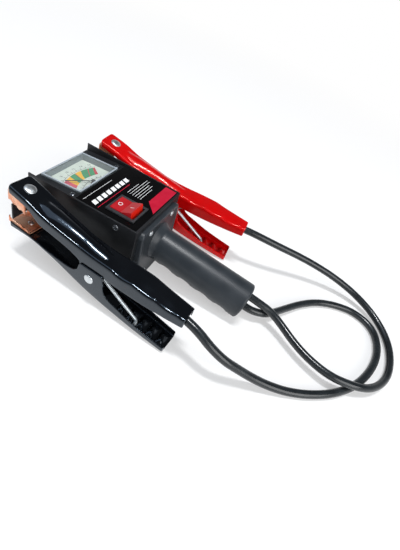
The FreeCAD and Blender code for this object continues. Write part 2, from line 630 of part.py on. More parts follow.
def make_terminals():
    """Crimped lead ends inside the case: red to the switch's second blade, black to the strip's end."""
    blade = f"({SWITCH_Y} + blade_shift + blade_thick/2)"
    end = f"({STRIP_Y} + strip_folds*strip_pitch)"
    for name, side, up in LEADS:
        barrel = grip_rod(f"barrel_{name}", "cable/2", f"-{LUG_BACK}", "-lead_back", side, up)
        y, z = lug_point(up)
        x0, x1 = f"({side} - cable/2)", f"({side} + cable/2)"
        far = f"({blade} + bar_thick)" if name == "red" else f"({end} + bar_thick/2)"
        tongue = box(f"tongue_{name}", x0, x1, f"{y} - cable/4", far, f"{z} - bar_thick/2",
                     f"{z} + bar_thick/2")
        if name == "red":
            riser = box("riser_red", f"{SWITCH_X} - blade_wide/2", x1, blade, f"{blade} + bar_thick",
                        f"{z} - bar_thick/2", f"{BODY_BASE} - switch_wall")
        else:
            riser = box("riser_black", x0, x1, f"{end} - bar_thick/2", f"{end} + bar_thick/2", STRIP_TOP,
                        f"{z} + bar_thick/2")
        node(fuse(f"terminal_{name}", barrel, tongue, riser), f"{name}_terminal")


def make_handle():
    """Moulded grip with a flange on the case's end plate, a two-hole plug, and the leads inside it."""
    side = [(f"-{HALF_L}", "flange_base"), (f"-{HALF_L}", FLANGE_TOP),
            (f"-{HALF_L} - flange_thin", FLANGE_TOP), (f"-{HALF_L} - flange_thick", "flange_base")]
    wedge = pad("flange_wedge", "YZ_Plane", side, FLANGE_W)
    doc.recompute()
    corners = doc.getObject("flange_wedge_pad")
    names = [f"Edge{i}" for i, edge in enumerate(corners.Shape.Edges, start=1)
             if abs(edge.tangentAt(edge.FirstParameter).y) > 0.9]
    rounding = wedge.newObject("PartDesign::Fillet", "flange_rounding")
    rounding.Base = (corners, names)
    rounding.setExpression("Radius", bound("flange_round"))

    axis = ((1, 0, 0), "90 + grip_tilt")
    neck = cone("grip_neck", "neck_radius", "grip_radius", "neck_length", *along_grip("0"), *axis)
    shaft = cone("grip_shaft", "grip_radius", "butt_radius", "grip_length - butt_chamfer", *along_grip("0"),
                 *axis)
    butt = cone("grip_butt", "butt_radius", "butt_radius - butt_chamfer", "butt_chamfer",
                *along_grip("grip_length - butt_chamfer"), *axis)
    solid = fuse("grip_solid", wedge, neck, shaft, butt)
    inside = box("grip_inside", "-case_width", "case_width", f"-{HALF_L}", "0", "-case_height",
                 "2*case_height")
    grooves = []
    for i in range(int(size("finger_count"))):
        reach = f"(grip_length - finger_first - {i}*finger_pitch)"
        drop = f"(grip_radius + (butt_radius - grip_radius)*{reach}/grip_length - finger_deep + finger_round)"
        x, y, z = along_grip(reach, "-1.5*butt_radius", f"-{drop}")
        grooves.append(rod(f"grip_groove_{i}", "finger_round", "3*butt_radius", x, y, z, (0, 1, 0), "90"))
    bore = grip_rod("grip_bore", "bore_radius", "-2*neck_length", "grip_length + plug_length")
    drilled = [rod(f"grip_screw_hole_{i}", "screw_radius + hole_play", "2*flange_thick", x,
                   f"-{HALF_L} - 2*flange_thick", z, (1, 0, 0), "-90")
               for i, (x, z) in enumerate(FLANGE_SCREWS)]
    faced = [rod(f"grip_screw_seat_{i}", "screw_head + hole_play", "2*flange_thick", x,
                 f"{flange_seat(z)} - 2*flange_thick", z, (1, 0, 0), "-90")
             for i, (x, z) in enumerate(FLANGE_SCREWS)]
    node(cut("grip_cut", solid, inside, bore, *grooves, *drilled, *faced), "handle_grip")

    plug = grip_rod("plug_round", "bore_radius - seat", "grip_length - plug_length", "grip_length")
    holes = [grip_rod(f"plug_hole_{name}", "cable/2 + seat", "0", "grip_length + plug_length", side, up)
             for name, side, up in LEADS]
    node(cut("plug_cut", plug, *holes), "cable_plug")
    for name, side, up in LEADS:
        lead = grip_rod(f"inner_{name}", "cable/2", "-lead_back", "grip_length", side, up)
        node(lead, f"{name}_inner_lead")


def along(line, x):
    """The height of a line of straight runs at one place."""
    for (x0, z0), (x1, z1) in zip(line, line[1:]):
        if x0 <= x <= x1:
            return z0 + (z1 - z0) * (x - x0) / (x1 - x0)
    raise ValueError(f"{x} lies outside the line")


def upper_lines():
    """Crown, bow, rim and width of the upper arm, each a line of corners from jaw tip to tail."""
    tip, jaw_end, middle = size("-arm_front"), size("jaw_length - arm_front"), size("-arm_front/2")
    neck, back, ear = size("jaw_length + neck_run - arm_front"), size("arm_back"), size("ear_radius")
    heel, hand = -1.5 * ear, 3.3 * ear
    crown = [(tip, size("tip_rise")), (jaw_end, size("jaw_end_rise")), (neck, size("ridge_rise + web_bow")),
             (middle, size("ridge_rise")), (heel, size("heel_rise")), (hand, size("hand_rise")),
             (back / 2, size("hand_rise")), (back, size("tail_rise"))]
    bow = [(tip, size("web_bow")), (jaw_end, size("web_bow")), (neck, size("0.7*ridge_bow")),
           (middle, size("ridge_bow")), (heel, size("heel_bow")), (hand, size("2*web_bow")),
           (back, size("web_bow"))]
    rim = [(tip, size("tip_rise - jaw_flange")), (jaw_end, size("jaw_end_rise - jaw_flange")),
           (neck, size("ridge_rise - 0.7*ridge_bow - ridge_flange")),
           (middle, size("ridge_rise - ridge_bow - ridge_flange")),
           (heel, size("hand_rise - hand_flange")), (-1.1 * ear, -0.5 * ear), (0, -ear),
           (1.1 * ear, -0.5 * ear), (1.7 * ear, size("hand_rise - hand_flange")),
           (back / 2, size("hand_rise - hand_flange")), (back, size("tail_rise - flange_deep"))]
    width = [(tip, size("jaw_width")), (neck, size("jaw_width")), (heel, size("arm_width")),
             (1.7 * ear, size("arm_width")), (hand, size("hand_width")), (back / 2, size("hand_width")),
             (back, size("tail_width"))]
    return crown, bow, rim, width


def lower_lines():
    """Crown, bow, rim and width of the lower arm; its crown is its lowest line, its tail near the table."""
    tip, jaw_end, middle = size("-arm_front"), size("jaw_length - arm_front"), size("-arm_front/2")
    back, ear = size("low_back"), size("low_ear_radius")
    hand = 0.4 * back
    crown = [(tip, size("low_tip_rise - web_bow")), (jaw_end, size("low_tip_rise - web_bow/2")),
             (middle, size("-low_mid_drop - web_bow")), (0, size("-low_pivot_drop - web_bow")),
             (hand, size("-low_grip_drop - web_bow")), (back, size("floor_gap - pivot_height"))]
    bow = [(tip, size("-web_bow")), (back, size("-web_bow"))]
    rim = [(tip, size("low_tip_rise + low_flange")), (jaw_end, size("low_tip_rise + low_flange/2")),
           (middle, size("low_flange/2 - low_mid_drop")), (-1.25 * ear, -0.1 * ear), (-0.95 * ear, 0.1 * ear),
           (-0.85 * ear, 0.75 * ear), (-0.7 * ear, 0.8 * ear), (0.9 * ear, 0.8 * ear), (1.05 * ear, -0.1 * ear),
           (1.3 * ear, -0.65 * ear), (hand, size("1.8*low_flange - low_grip_drop")),
           (back, size("floor_gap + web_bow + low_flange/2 - pivot_height"))]
    width = [(tip, size(LOW_W)), (back / 2, size(LOW_W)), (back, size("low_tail_width"))]
    return crown, bow, rim, width


def channel(lines, thick, open_to):
    """A stamped channel, open at both ends: flanges from its rim to a web that bows up to its crown.

    The sections stand where any of the four lines has a corner. The hollow is the same loft, one
    sheet thinner, carried past the rim towards the open side and out of both ends.
    """
    crown, bow, rim, width = lines
    places = sorted({x for line in lines for x, _ in line})

    def loft(inset, past):
        wires = []
        for x in places:
            half = along(width, x) / 2 - inset
            top = along(crown, x) + inset * open_to
            edge = top - along(bow, x)
            bottom = along(rim, x) + past * open_to
            if x == places[0]:
                x = x - past
            elif x == places[-1]:
                x = x + past
            wires.append(Part.Wire([Part.makeLine(V(x, -half, bottom), V(x, -half, edge)),
                                    Part.Arc(V(x, -half, edge), V(x, 0, top), V(x, half, edge)).toShape(),
                                    Part.makeLine(V(x, half, edge), V(x, half, bottom)),
                                    Part.makeLine(V(x, half, bottom), V(x, -half, bottom))]))
        return Part.makeLoft(wires, True, True)
    return loft(0.0, 0.0).cut(loft(thick, thick))


def biarc(p0, t0, p1, t1):
    """Two arcs that leave p0 along t0 and reach p1 along t1, meeting with one tangent."""
    gap = p1 - p0
    spread = 2 * (1 - t0.dot(t1))
    slope = gap.dot(t0 + t1)
    reach = (math.sqrt(slope * slope + spread * gap.dot(gap)) - slope) / spread
    mid = (p0 + t0 * reach + p1 - t1 * reach) * 0.5
    edges = []
    for start, tangent, end in ((p0, t0, mid), (p1, t1 * -1, mid)):
        chord = end - start
        cross = tangent.cross(chord)
        normal = cross.cross(tangent).normalize()
        radius = chord.dot(chord) / (2 * chord.dot(normal))
        centre = start + normal * radius
        bow = (start + end) * 0.5 - centre
        half_way = centre + bow.normalize() * radius
        edges.append(Part.Arc(start, half_way, end) if start is p0 else Part.Arc(end, half_way, start))
    return [edge.toShape() for edge in edges]


def spring_path(side):
    """Middle line of the torsion spring: a leg on each arm's inside, and turns round the pivot between.

    The lower leg leaves the top of the coil and ends in a short sideways hook; the other leg
    leaves the bottom. The turns are biarcs of a quarter turn on a steady helix.
    """
    radius, wire, reach = size("spring_radius"), size("spring_wire"), size("leg_reach")
    inset = size("arm_sheet + spring_wire/2 + side_play")
    webs = [along(crown, reach) - along(bow, reach) / 2 for crown, bow, *_ in (lower_lines(), upper_lines())]
    low_end, high_end = V(reach, 0, webs[0] + inset), V(reach, 0, webs[1] - inset)

    def leaves(end, sense):
        """The angle on the coil where a straight leg to the point leaves it."""
        return math.atan2(end.z, end.x) + sense * math.acos(radius / math.hypot(end.x, end.z))
    first = leaves(low_end, 1)
    last = leaves(high_end, -1) + 2 * math.pi * size("spring_turns")
    quarters = round((last - first) / (math.pi / 2))
    step = (last - first) / quarters
    rise = size("spring_pitch") * step / (2 * math.pi)

    def on_coil(i):
        """Point and tangent at one quarter turn; the first and last lie flat, as the legs do."""
        angle = first + step * i
        across = side * rise * (min(max(i - 0.5, 0), quarters - 1) - (quarters - 1) / 2)
        climb = 0.0 if i in (0, quarters) else side * rise / (radius * step)
        tangent = V(-math.sin(angle), climb, math.cos(angle)).normalize()
        return V(radius * math.cos(angle), across, radius * math.sin(angle)), tangent
    start, way = on_coil(0)
    end, _ = on_coil(quarters)
    bend = 1.5 * wire
    hook = V(0, side, 0)
    corner = V(low_end.x, start.y, low_end.z)
    before, after = corner + way * bend, corner + hook * bend
    inner = before + hook * bend
    middle = inner - (hook + way).normalize() * bend
    edges = [Part.makeLine(corner + hook * size("hook_long"), after), Part.Arc(after, middle, before).toShape(),
             Part.makeLine(before, start)]
    for i in range(quarters):
        edges += biarc(*on_coil(i), *on_coil(i + 1))
    edges.append(Part.makeLine(end, V(high_end.x, end.y, high_end.z)))
    return edges


def piped(edges, diameter, label):
    """A round tube along a path of lines and arcs; its volume is printed beside section times length."""
    path = Part.Wire(edges)
    start = edges[0].Vertexes[0].Point
    section = Part.Wire([Part.makeCircle(diameter / 2, start, edges[0].Vertexes[1].Point - start)])
    shell = Part.BRepOffsetAPI.MakePipeShell(path)
    shell.add(section)
    shell.build()
    shell.makeSolid()
    solid = shell.shape()
    ratio = solid.Volume / (math.pi * diameter ** 2 / 4 * path.Length)
    print("%s: length %.0f mm, volume / (section x length) %.4f" % (label, path.Length, ratio))
    return solid


def report_gap(edges, wire, label):
    """Print the least gap of a wire to itself, over points at least three wires apart along it."""
    points = Part.Wire(edges).discretize(Distance=wire / 4)
    apart = 12
    least = min((a - b).Length for i, a in enumerate(points) for b in points[i + apart:]) - wire
    print("%s: least gap between turns %.2f mm" % (label, least))


def teeth(start, end, high_start, high_end, deep):
    """Corners of a toothed edge from one end to the other, whole teeth at the named pitch."""
    count = max(2, round(abs(size(end) - size(start)) / size("tooth_pitch")))
    corners = []
    for i in range(2 * count + 1):
        share = i / (2 * count)
        notch = f" + ({deep})" if i % 2 else ""
        corners.append((f"({start}) + (({end}) - ({start}))*{share:.4f}",
                        f"({high_start}) + (({high_end}) - ({high_start}))*{share:.4f}{notch}"))
    return corners


def make_clamp(name, side):
    """One spring clamp, about its pivot: x runs from jaws to tails, y across, z up; then set in place."""
    def set_down(obj, label):
        """Place a clamp piece beside the case."""
        place(obj, f"{side}*{CLAMP_X}", CLAMP_Y, "pivot_height", (0, 0, 1), f"{side}*clamp_yaw - 90")
        return node(obj, f"{name}_{label}")

    def shaped(label, shape):
        """A lofted or piped piece as a feature of the document."""
        feature = doc.addObject("Part::Feature", f"{name}_{label}_shape")
        feature.Shape = shape
        return feature
    thick = size("arm_sheet")
    arms = (("upper", upper_lines(), -1, "jaw_rivet/2", on_rivet(f"-{RIVET_GRIP}")),
            ("lower", lower_lines(), 1, "low_rivet/2", (RIVET_X, "0", f"-{RIVET_GRIP}")))
    for label, lines, open_to, rivet, through in arms:
        solid = shaped(f"{label}_arm", channel(lines, thick, open_to))
        pin_hole = rod(f"{name}_{label}_pin_hole", "pin_radius + bearing_play", f"2*{LOW_W}", "0", LOW_W, "0",
                       (1, 0, 0), "90")
        rivet_hole = rod(f"{name}_{label}_rivet_hole", f"{rivet} + hole_play", f"2*{RIVET_GRIP}", *through)
        set_down(cut(f"{name}_{label}_arm_cut", solid, pin_hole, rivet_hole), f"{label}_arm")

    span = f"({LOW_W} + 4*bearing_play)"
    heads = [cone(f"{name}_pin_head_{i}", "pin_head", "pin_head - pin_head_rise", "pin_head_rise", "0",
                  f"{turn}*{span}/2", "0", (1, 0, 0), f"-{turn}*90") for i, turn in enumerate(("-1", "1"))]
    shank = rod(f"{name}_pin_shank", "pin_radius", span, "0", f"{span}/2", "0", (1, 0, 0), "90")
    set_down(fuse(f"{name}_pin", shank, *heads), "pivot_rivet")

    make_jaws(name, set_down)
    edges = spring_path(side)
    report_gap(edges, size("spring_wire"), f"{name}_spring")
    set_down(shaped("spring", piped(edges, size("spring_wire"), f"{name}_spring")), "spring")

    clip = box(f"{name}_clip_block", CLIP_FROM, f"{CLIP_FROM} + clip_long", f"seat - {TAIL_IN}/2",
               f"{TAIL_IN}/2 - seat", f"{CABLE_RISE} - cable/2 - arm_sheet", CLIP_TOP)
    bore = rod(f"{name}_clip_bore", "cable/2 + seat", "arm_back", "0", "0", CABLE_RISE, (0, 1, 0), "90")
    set_down(cut(f"{name}_clip", clip, bore), "cable_clip")


def on_rivet(out):
    """A place on the upper jaw rivet's axis, square to the sloping web, so far out of its crown."""
    lean = f"(atan({JAW_SLOPE})/1 deg)"
    crown = f"(tip_rise - {JAW_SLOPE}*({RIVET_X} + arm_front))"
    return f"{RIVET_X} + ({out})*sin({lean})", "0", f"{crown} + ({out})*cos({lean})", (0, 1, 0), lean


def make_jaws(name, set_down):
    """Copper jaw linings: U-shaped, with a toothed edge on each side, and the rivets that hold them."""
    x0, x1 = "(-arm_front - jaw_over)", "(lining_long - arm_front - jaw_over)"
    fall = f"({JAW_SLOPE}*lining_long)"
    roof = f"(tip_rise - web_bow - arm_sheet - 3*seat + {JAW_SLOPE}*jaw_over)"
    edge = f"({roof} - jaw_drop)"
    jaw_w = f"({JAW_IN} - 2*seat)"
    side = [(x0, roof), (x1, f"{roof} - {fall}")]
    side += teeth(x1, x0, f"{edge} - {fall}", edge, "tooth_deep")
    lining = pad(f"{name}_upper_lining", "XZ_Plane", side, jaw_w)
    out0, out1 = f"{x0} - jaw_sheet", f"{x1} + jaw_sheet"
    ceiling, lean = f"{roof} - jaw_sheet", f"{JAW_SLOPE}*jaw_sheet"
    hollow = [(out0, f"{ceiling} + {lean}"), (out1, f"{ceiling} - {fall} - {lean}"), (out1, "0"), (out0, "0")]
    pocket(lining, f"{name}_upper_hollow", "XZ_Plane", hollow, f"{jaw_w} - 2*jaw_sheet")
    hole = rod(f"{name}_upper_lining_hole", "jaw_rivet/2 + hole_play", f"2*{RIVET_GRIP}",
               *on_rivet(f"-2*{RIVET_GRIP}"))
    set_down(cut(f"{name}_upper_lining_cut", lining, hole), "upper_jaw")

    base = "(low_tip_rise + web_bow/2 + arm_sheet + seat)"
    rise = "low_jaw_rise"
    jaw_w = f"({LOW_W} - 2*arm_sheet - 2*seat)"
    side = [(x1, base), (x0, base)] + teeth(x0, x1, rise, f"{rise} - {fall}", "-tooth_deep")
    lining = pad(f"{name}_lower_lining", "XZ_Plane", side, jaw_w)
    hollow = [(out0, f"{base} + jaw_sheet"), (out1, f"{base} + jaw_sheet"), (out1, f"2*{rise}"),
              (out0, f"2*{rise}")]
    pocket(lining, f"{name}_lower_hollow", "XZ_Plane", hollow, f"{jaw_w} - 2*jaw_sheet")
    hole = rod(f"{name}_lower_lining_hole", "low_rivet/2 + hole_play", "2*tip_rise", RIVET_X, "0", "-tip_rise")
    set_down(cut(f"{name}_lower_lining_cut", lining, hole), "lower_jaw")

    head = cone(f"{name}_upper_rivet_head", "jaw_rivet", "jaw_rivet - jaw_rivet_rise", "jaw_rivet_rise",
                *on_rivet("seat"))
    body = rod(f"{name}_upper_rivet_body", "jaw_rivet/2", f"seat + jaw_rivet_rise/2 + {RIVET_GRIP}",
               *on_rivet(f"-{RIVET_GRIP}"))
    foot = rod(f"{name}_upper_rivet_foot", "0.7*jaw_rivet", "jaw_sheet",
               *on_rivet(f"-{RIVET_GRIP} - jaw_sheet"))
    set_down(fuse(f"{name}_upper_rivet", head, body, foot), "upper_jaw_rivet")
    top = f"({base} + jaw_sheet + seat)"
    under = "(low_tip_rise - web_bow - seat)"
    head = rod(f"{name}_lower_rivet_head", "low_rivet", "jaw_sheet", RIVET_X, "0", top)
    body = rod(f"{name}_lower_rivet_body", "low_rivet/2", f"{top} - {under} + jaw_sheet/2", RIVET_X, "0", under)
    foot = rod(f"{name}_lower_rivet_foot", "low_rivet", "jaw_sheet", RIVET_X, "0", f"{under} - jaw_sheet")
    set_down(fuse(f"{name}_lower_rivet", head, body, foot), "lower_jaw_rivet")


def make_bracket(name, side):
    """A bent plate on the case's side wall, with a tab that stands between a parked clamp's jaws."""
    wall = f"{side}*{HALF_W}"
    tip = f"{wall} + {side}*tab_reach"
    face = f"{wall} + {side}*tab_thick"
    tab = box(f"{name}_tab", *sorted((wall, tip), key=size), f"{TAB_Y} - tab_thick/2", f"{TAB_Y} + tab_thick/2",
              TAB_LOW, TAB_HIGH)
    foot = box(f"{name}_tab_foot", *sorted((wall, face), key=size), f"{TAB_Y} - tab_thick/2",
               f"{TAB_Y} + tab_foot", TAB_LOW, TAB_HIGH)
    y, z = SIDE_SCREWS[1]
    hole = rod(f"{name}_tab_hole", "screw_radius + hole_play", "3*case_width", "-1.5*case_width", y, z,
               (0, 1, 0), "90")
    node(cut(f"{name}_bracket_cut", fuse(f"{name}_bracket", tab, foot), hole), f"{name}_clip_bracket")


def clamp_point(side, x, z):
    """A point of a clamp's middle plane, in the part's own frame."""
    turn = math.radians(side * size("clamp_yaw") - 90)
    return V(side * size(CLAMP_X) + x * math.cos(turn), x * math.sin(turn) + size(CLAMP_Y),
             size("pivot_height") + z)


# Routes of the free leads, from the clamps round to the handle's butt, lying loosely on the table
RED_ROUTE = [(79.5, -142, 43), (84, -160, 40.5), (90.5, -178, 37), (99, -198, 32.5), (107.5, -221, 27),
             (115, -251, 20), (115, -285, 12.5), (102, -315, 7), (76, -334, 4.5), (46, -338.5, 4.1),
             (17, -333, 4.6), (-9, -315, 9.5), (-22, -292, 14), (-26, -268, 14.5), (-19, -245, 13.6),
             (-9.5, -227, 13.8), (0, -212, 15.5), (6.5, -197, 18.6)]
BLACK_ROUTE = [(-80.5, -142, 42.5), (-84, -157, 37), (-83, -172, 29.5), (-78, -186, 22), (-72.5, -202, 14.2),
               (-66.5, -219, 8.3), (-59, -238, 4.6), (-49, -258, 4.1), (-33, -281, 4.1), (-7, -304, 4.1),
               (28, -319.5, 4.1), (59, -323, 4.1), (84, -314, 4.1), (93.5, -291, 4.1), (88, -266, 4.1),
               (76, -244, 4.1), (58, -226, 4.4), (37, -211.5, 6), (19, -200, 8.5), (9.5, -193, 10.3),
               (3.6, -184.8, 12)]


def cord_path(points, label):
    """Straight runs joined by tangent arcs, each as large as its runs allow; prints the radii."""
    edges, here, radii = [], points[0], []
    for before, corner, after in zip(points, points[1:], points[2:]):
        back, ahead = before - corner, after - corner
        reach = 0.45 * min(back.Length, ahead.Length)
        back.normalize()
        ahead.normalize()
        half_turn = (math.pi - back.getAngle(ahead)) / 2
        radius = reach / math.tan(half_turn)
        start, end = corner + back * reach, corner + ahead * reach
        middle = corner + (back + ahead).normalize() * (radius / math.cos(half_turn) - radius)
        edges += [Part.makeLine(here, start), Part.Arc(start, middle, end).toShape()]
        here = end
        radii.append(radius)
    edges.append(Part.makeLine(here, points[-1]))
    print("%s: radii %s mm" % (label, " ".join("%.0f" % radius for radius in radii)))
    return edges


def make_leads():
    """The two free leads, each a closed tube from its clamp to the handle's butt."""
    tilt = math.radians(size("grip_tilt"))
    axis = V(0, -math.cos(tilt), -math.sin(tilt))
    up = V(0, -math.sin(tilt), math.cos(tilt))
    start = V(0, -size(HALF_L), size(GRIP_Z))
    inside = size(CLIP_FROM), size(f"{CLIP_FROM} + 1.7*clip_long")
    for (name, across, above), side, route in zip(LEADS, (1, -1), (RED_ROUTE, BLACK_ROUTE)):
        butt = start + axis * size("grip_length") + V(size(across), 0, 0) + up * size(above)
        points = [clamp_point(side, x, size(CABLE_RISE)) for x in inside]
        points += [V(*point) for point in route] + [butt + axis * size(f"{name}_straight"), butt]
        feature = doc.addObject("Part::Feature", f"{name}_lead_shape")
        feature.Shape = piped(cord_path(points, f"{name}_cable"), size("cable"), f"{name}_cable")
        node(feature, f"{name}_cable")


def write_parts():
    """Check every object and write one file for each sub-part."""
    doc.recompute()
    for obj in doc.Objects:
        if "Invalid" in obj.State or "Error" in obj.State:
            raise RuntimeError(f"{obj.Name} did not recompute: {obj.State}")
    os.makedirs("parts", exist_ok=True)
    for obj in NODES:
        shape = obj.Shape
        if shape.isNull() or not shape.isValid() or not shape.Solids:
            raise RuntimeError(f"{obj.Label} has no valid solid")
        if len(shape.Solids) != 1:
            raise RuntimeError(f"{obj.Label} has {len(shape.Solids)} solids")
        shape.exportStep(f"parts/{obj.Label}.step")
    print(f"{len(NODES)} sub-parts written")


make_case()
make_meter()
make_switch()
make_load()
make_terminals()
make_handle()
make_screws()
for clamp_name, clamp_side in (("black", -1), ("red", 1)):
    make_clamp(clamp_name, clamp_side)
    make_bracket(clamp_name, clamp_side)
make_leads()
write_parts()
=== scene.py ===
import json
import math

import bmesh
import bpy
import numpy as np
from mathutils import Matrix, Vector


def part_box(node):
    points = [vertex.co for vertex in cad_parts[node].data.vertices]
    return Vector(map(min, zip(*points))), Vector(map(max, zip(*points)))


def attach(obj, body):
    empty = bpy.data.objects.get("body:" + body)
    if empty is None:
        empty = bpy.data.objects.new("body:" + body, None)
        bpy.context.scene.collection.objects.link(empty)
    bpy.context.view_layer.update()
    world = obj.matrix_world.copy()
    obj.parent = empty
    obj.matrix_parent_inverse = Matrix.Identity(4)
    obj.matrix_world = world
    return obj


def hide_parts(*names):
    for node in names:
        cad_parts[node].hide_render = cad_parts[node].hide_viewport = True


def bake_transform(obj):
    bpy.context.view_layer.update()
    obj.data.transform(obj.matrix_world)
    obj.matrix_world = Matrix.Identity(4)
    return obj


# Battery load tester. Shapes are worked out in millimetres and set down in the CAD frame, in metres.

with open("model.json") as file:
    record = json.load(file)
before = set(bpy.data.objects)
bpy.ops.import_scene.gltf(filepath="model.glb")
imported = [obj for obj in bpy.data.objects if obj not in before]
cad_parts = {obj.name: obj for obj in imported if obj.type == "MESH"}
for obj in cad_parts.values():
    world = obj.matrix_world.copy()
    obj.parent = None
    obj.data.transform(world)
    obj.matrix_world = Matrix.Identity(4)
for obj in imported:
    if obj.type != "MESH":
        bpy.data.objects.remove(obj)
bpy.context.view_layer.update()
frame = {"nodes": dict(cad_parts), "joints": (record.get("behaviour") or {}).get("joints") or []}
NODES = frame["nodes"]
JOINTS = {joint["name"]: joint for joint in frame["joints"]}
MM = 0.001
MERGE_WITHIN = 0.002 * MM
X_AXIS = np.array([1.0, 0.0, 0.0])
Z_AXIS = np.array([0.0, 0.0, 1.0])
LEVEL = np.eye(3)
# The meter's deck leans, and the pointer's axis goes straight down through it
DECK_UP = -np.array(JOINTS["pointer_swing"]["axis"])


# Surfaces on grids

def grid(points, rows_meet=False, columns_meet=False, capped=False):
    """Vertices and faces of a grid of points, shaped rows by columns by 3.

    Where rows or columns meet, the last is joined to the first. Capped closes the first and the
    last row with one flat face each.
    """
    rows, columns = points.shape[:2]
    index = np.arange(rows * columns).reshape(rows, columns)
    first, last = index[0], index[-1]
    if rows_meet:
        index = np.concatenate([index, index[:1]])
    if columns_meet:
        index = np.concatenate([index, index[:, :1]], axis=1)
    faces = np.stack([index[:-1, :-1], index[:-1, 1:], index[1:, 1:], index[1:, :-1]], axis=-1)
    faces = faces.reshape(-1, 4).tolist()
    if capped:
        faces += [first[::-1].tolist(), last.tolist()]
    return points.reshape(-1, 3), faces


def moved(patch, place, axes=LEVEL):
    """A patch turned to the axes, which are rows, and moved to a place, all in millimetres."""
    points, faces = patch
    return points @ axes + place, faces


def placed(points, origin, axes):
    """Local points in millimetres carried to the frame: along the axes, which are rows, from the origin."""
    return np.asarray(points, float) * MM @ np.asarray(axes, float) + np.asarray(origin, float)


def set_down(patch, origin, axes):
    """A patch with its vertices carried to the frame."""
    points, faces = patch
    return placed(points, origin, axes), faces


def mesh_of(name, patches, closed=True):
    """One mesh of several grids; doubles are merged, and closed shells get their faces outwards."""
    starts = np.cumsum([0] + [len(points) for points, _ in patches])
    faces = [[i + int(start) for i in face] for start, (_, quads) in zip(starts, patches) for face in quads]
    mesh = bpy.data.meshes.new(name)
    mesh.from_pydata(np.concatenate([points for points, _ in patches]).tolist(), [], faces)
    shell = bmesh.new()
    shell.from_mesh(mesh)
    bmesh.ops.remove_doubles(shell, verts=shell.verts, dist=MERGE_WITHIN)
    if closed:
        bmesh.ops.recalc_face_normals(shell, faces=shell.faces)
    shell.to_mesh(mesh)
    shell.free()
    return mesh


def piece(mesh, material, body, stands_for=(), sharp=38):
    """An object of the mesh, riding on a body if one is named.

    Edges sharper than so many degrees stay sharp, and the rest is shaded smooth.
    """
    mesh.materials.clear()
    mesh.materials.append(material)
    mesh.shade_smooth()
    mesh.set_sharp_from_angle(angle=math.radians(sharp))
    obj = bpy.data.objects.new(mesh.name, mesh)
    bpy.context.scene.collection.objects.link(obj)
    if body:
        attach(obj, body)
    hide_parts(*stands_for)
    return obj


def smooth_line(x, knots):
    """A cubic through (place, value) knots that never overshoots them.

    The slope at a knot is the harmonic mean of the two chords beside it, and level where they
    turn; between knots the value is the Hermite cubic of both values and slopes.
    """
    place, value = np.array(knots, float).T
    step = np.diff(place)
    chord = np.diff(value) / step
    product = chord[:-1] * chord[1:]
    total = np.where(product > 0, chord[:-1] + chord[1:], 1.0)
    slope = np.concatenate([chord[:1], np.where(product > 0, 2 * product / total, 0.0), chord[-1:]])
    i = np.clip(np.searchsorted(place, x) - 1, 0, len(step) - 1)
    t = (x - place[i]) / step[i]
    rise = value[i] + (value[i + 1] - value[i]) * t * t * (3 - 2 * t)
    return rise + step[i] * t * (1 - t) * (slope[i] * (1 - t) - slope[i + 1] * t)


def ease(x, start, end):
    """From 0 at start to 1 at end, level at both: three times the share squared, less twice its cube."""
    share = np.clip((x - start) / (end - start), 0.0, 1.0)
    return share * share * (3 - 2 * share)


def raised_cosine(x, start, pitch):
    """Waves from 0 up to 1 and back, one to each pitch: half of one less the cosine."""
    return 0.5 - 0.5 * np.cos(2 * np.pi * (x - start) / pitch)


def faded(x, start, end, fade):
    """1 between two places, easing to 0 at both over the length of the fade."""
    return ease(x, start, start + fade) * (1 - ease(x, end - fade, end))


# Measures and copies of CAD nodes

def span(node, direction):
    """Lowest and highest reach of a CAD node along a direction, in metres."""
    corners = np.empty(len(NODES[node].data.vertices) * 3, np.float32)
    NODES[node].data.vertices.foreach_get("co", corners)
    reach = corners.reshape(-1, 3) @ np.asarray(direction, float)
    return reach.min(), reach.max()


def top_of(node, axes):
    """Middle of a CAD node's top: halfway along the first two axes and highest along the third, in metres."""
    across, along, up = (span(node, axis) for axis in axes)
    return np.array([sum(across) / 2, sum(along) / 2, up[1]]) @ axes


FLAT_WITHIN = math.radians(0.5)
EDGE_FROM = math.radians(35)


def rounded_copy(node, material, body, width):
    """A CAD node with its sharp edges rounded: its mesh merged, flat faces joined, then a narrow bevel."""
    mesh = NODES[node].data.copy()
    mesh.name = node + "_rounded"
    shell = bmesh.new()
    shell.from_mesh(mesh)
    bmesh.ops.remove_doubles(shell, verts=shell.verts, dist=MERGE_WITHIN)
    bmesh.ops.dissolve_limit(shell, angle_limit=FLAT_WITHIN, verts=shell.verts, edges=shell.edges)
    shell.to_mesh(mesh)
    shell.free()
    obj = piece(mesh, material, body, (node,), sharp=30)
    bevel = obj.modifiers.new("edge", "BEVEL")
    bevel.width = width * MM
    bevel.segments = 3
    bevel.limit_method = "ANGLE"
    bevel.angle_limit = EDGE_FROM
    bevel.harden_normals = True


# Materials

# Most of a noise lies between these values, where the first and the second tone are reached
NOISE_LOW, NOISE_HIGH = 0.35, 0.65


def linear(colour):
    """An sRGB hex value as linear red, green and blue, with full alpha."""
    shares = np.array([int(colour[i:i + 2], 16) for i in (1, 3, 5)]) / 255
    return (*np.where(shares <= 0.04045, shares / 12.92, ((shares + 0.055) / 1.055) ** 2.4).tolist(), 1.0)


def add(tree, kind, inputs=(), **settings):
    """Adds a node with its settings; each input is a constant, or another node's socket to link."""
    node = tree.nodes.new("ShaderNode" + kind)
    for name, value in settings.items():
        setattr(node, name, value)
    for name, value in dict(inputs).items():
        if isinstance(value, bpy.types.NodeSocket):
            tree.links.new(value, node.inputs[name])
        else:
            node.inputs[name].default_value = value
    return node


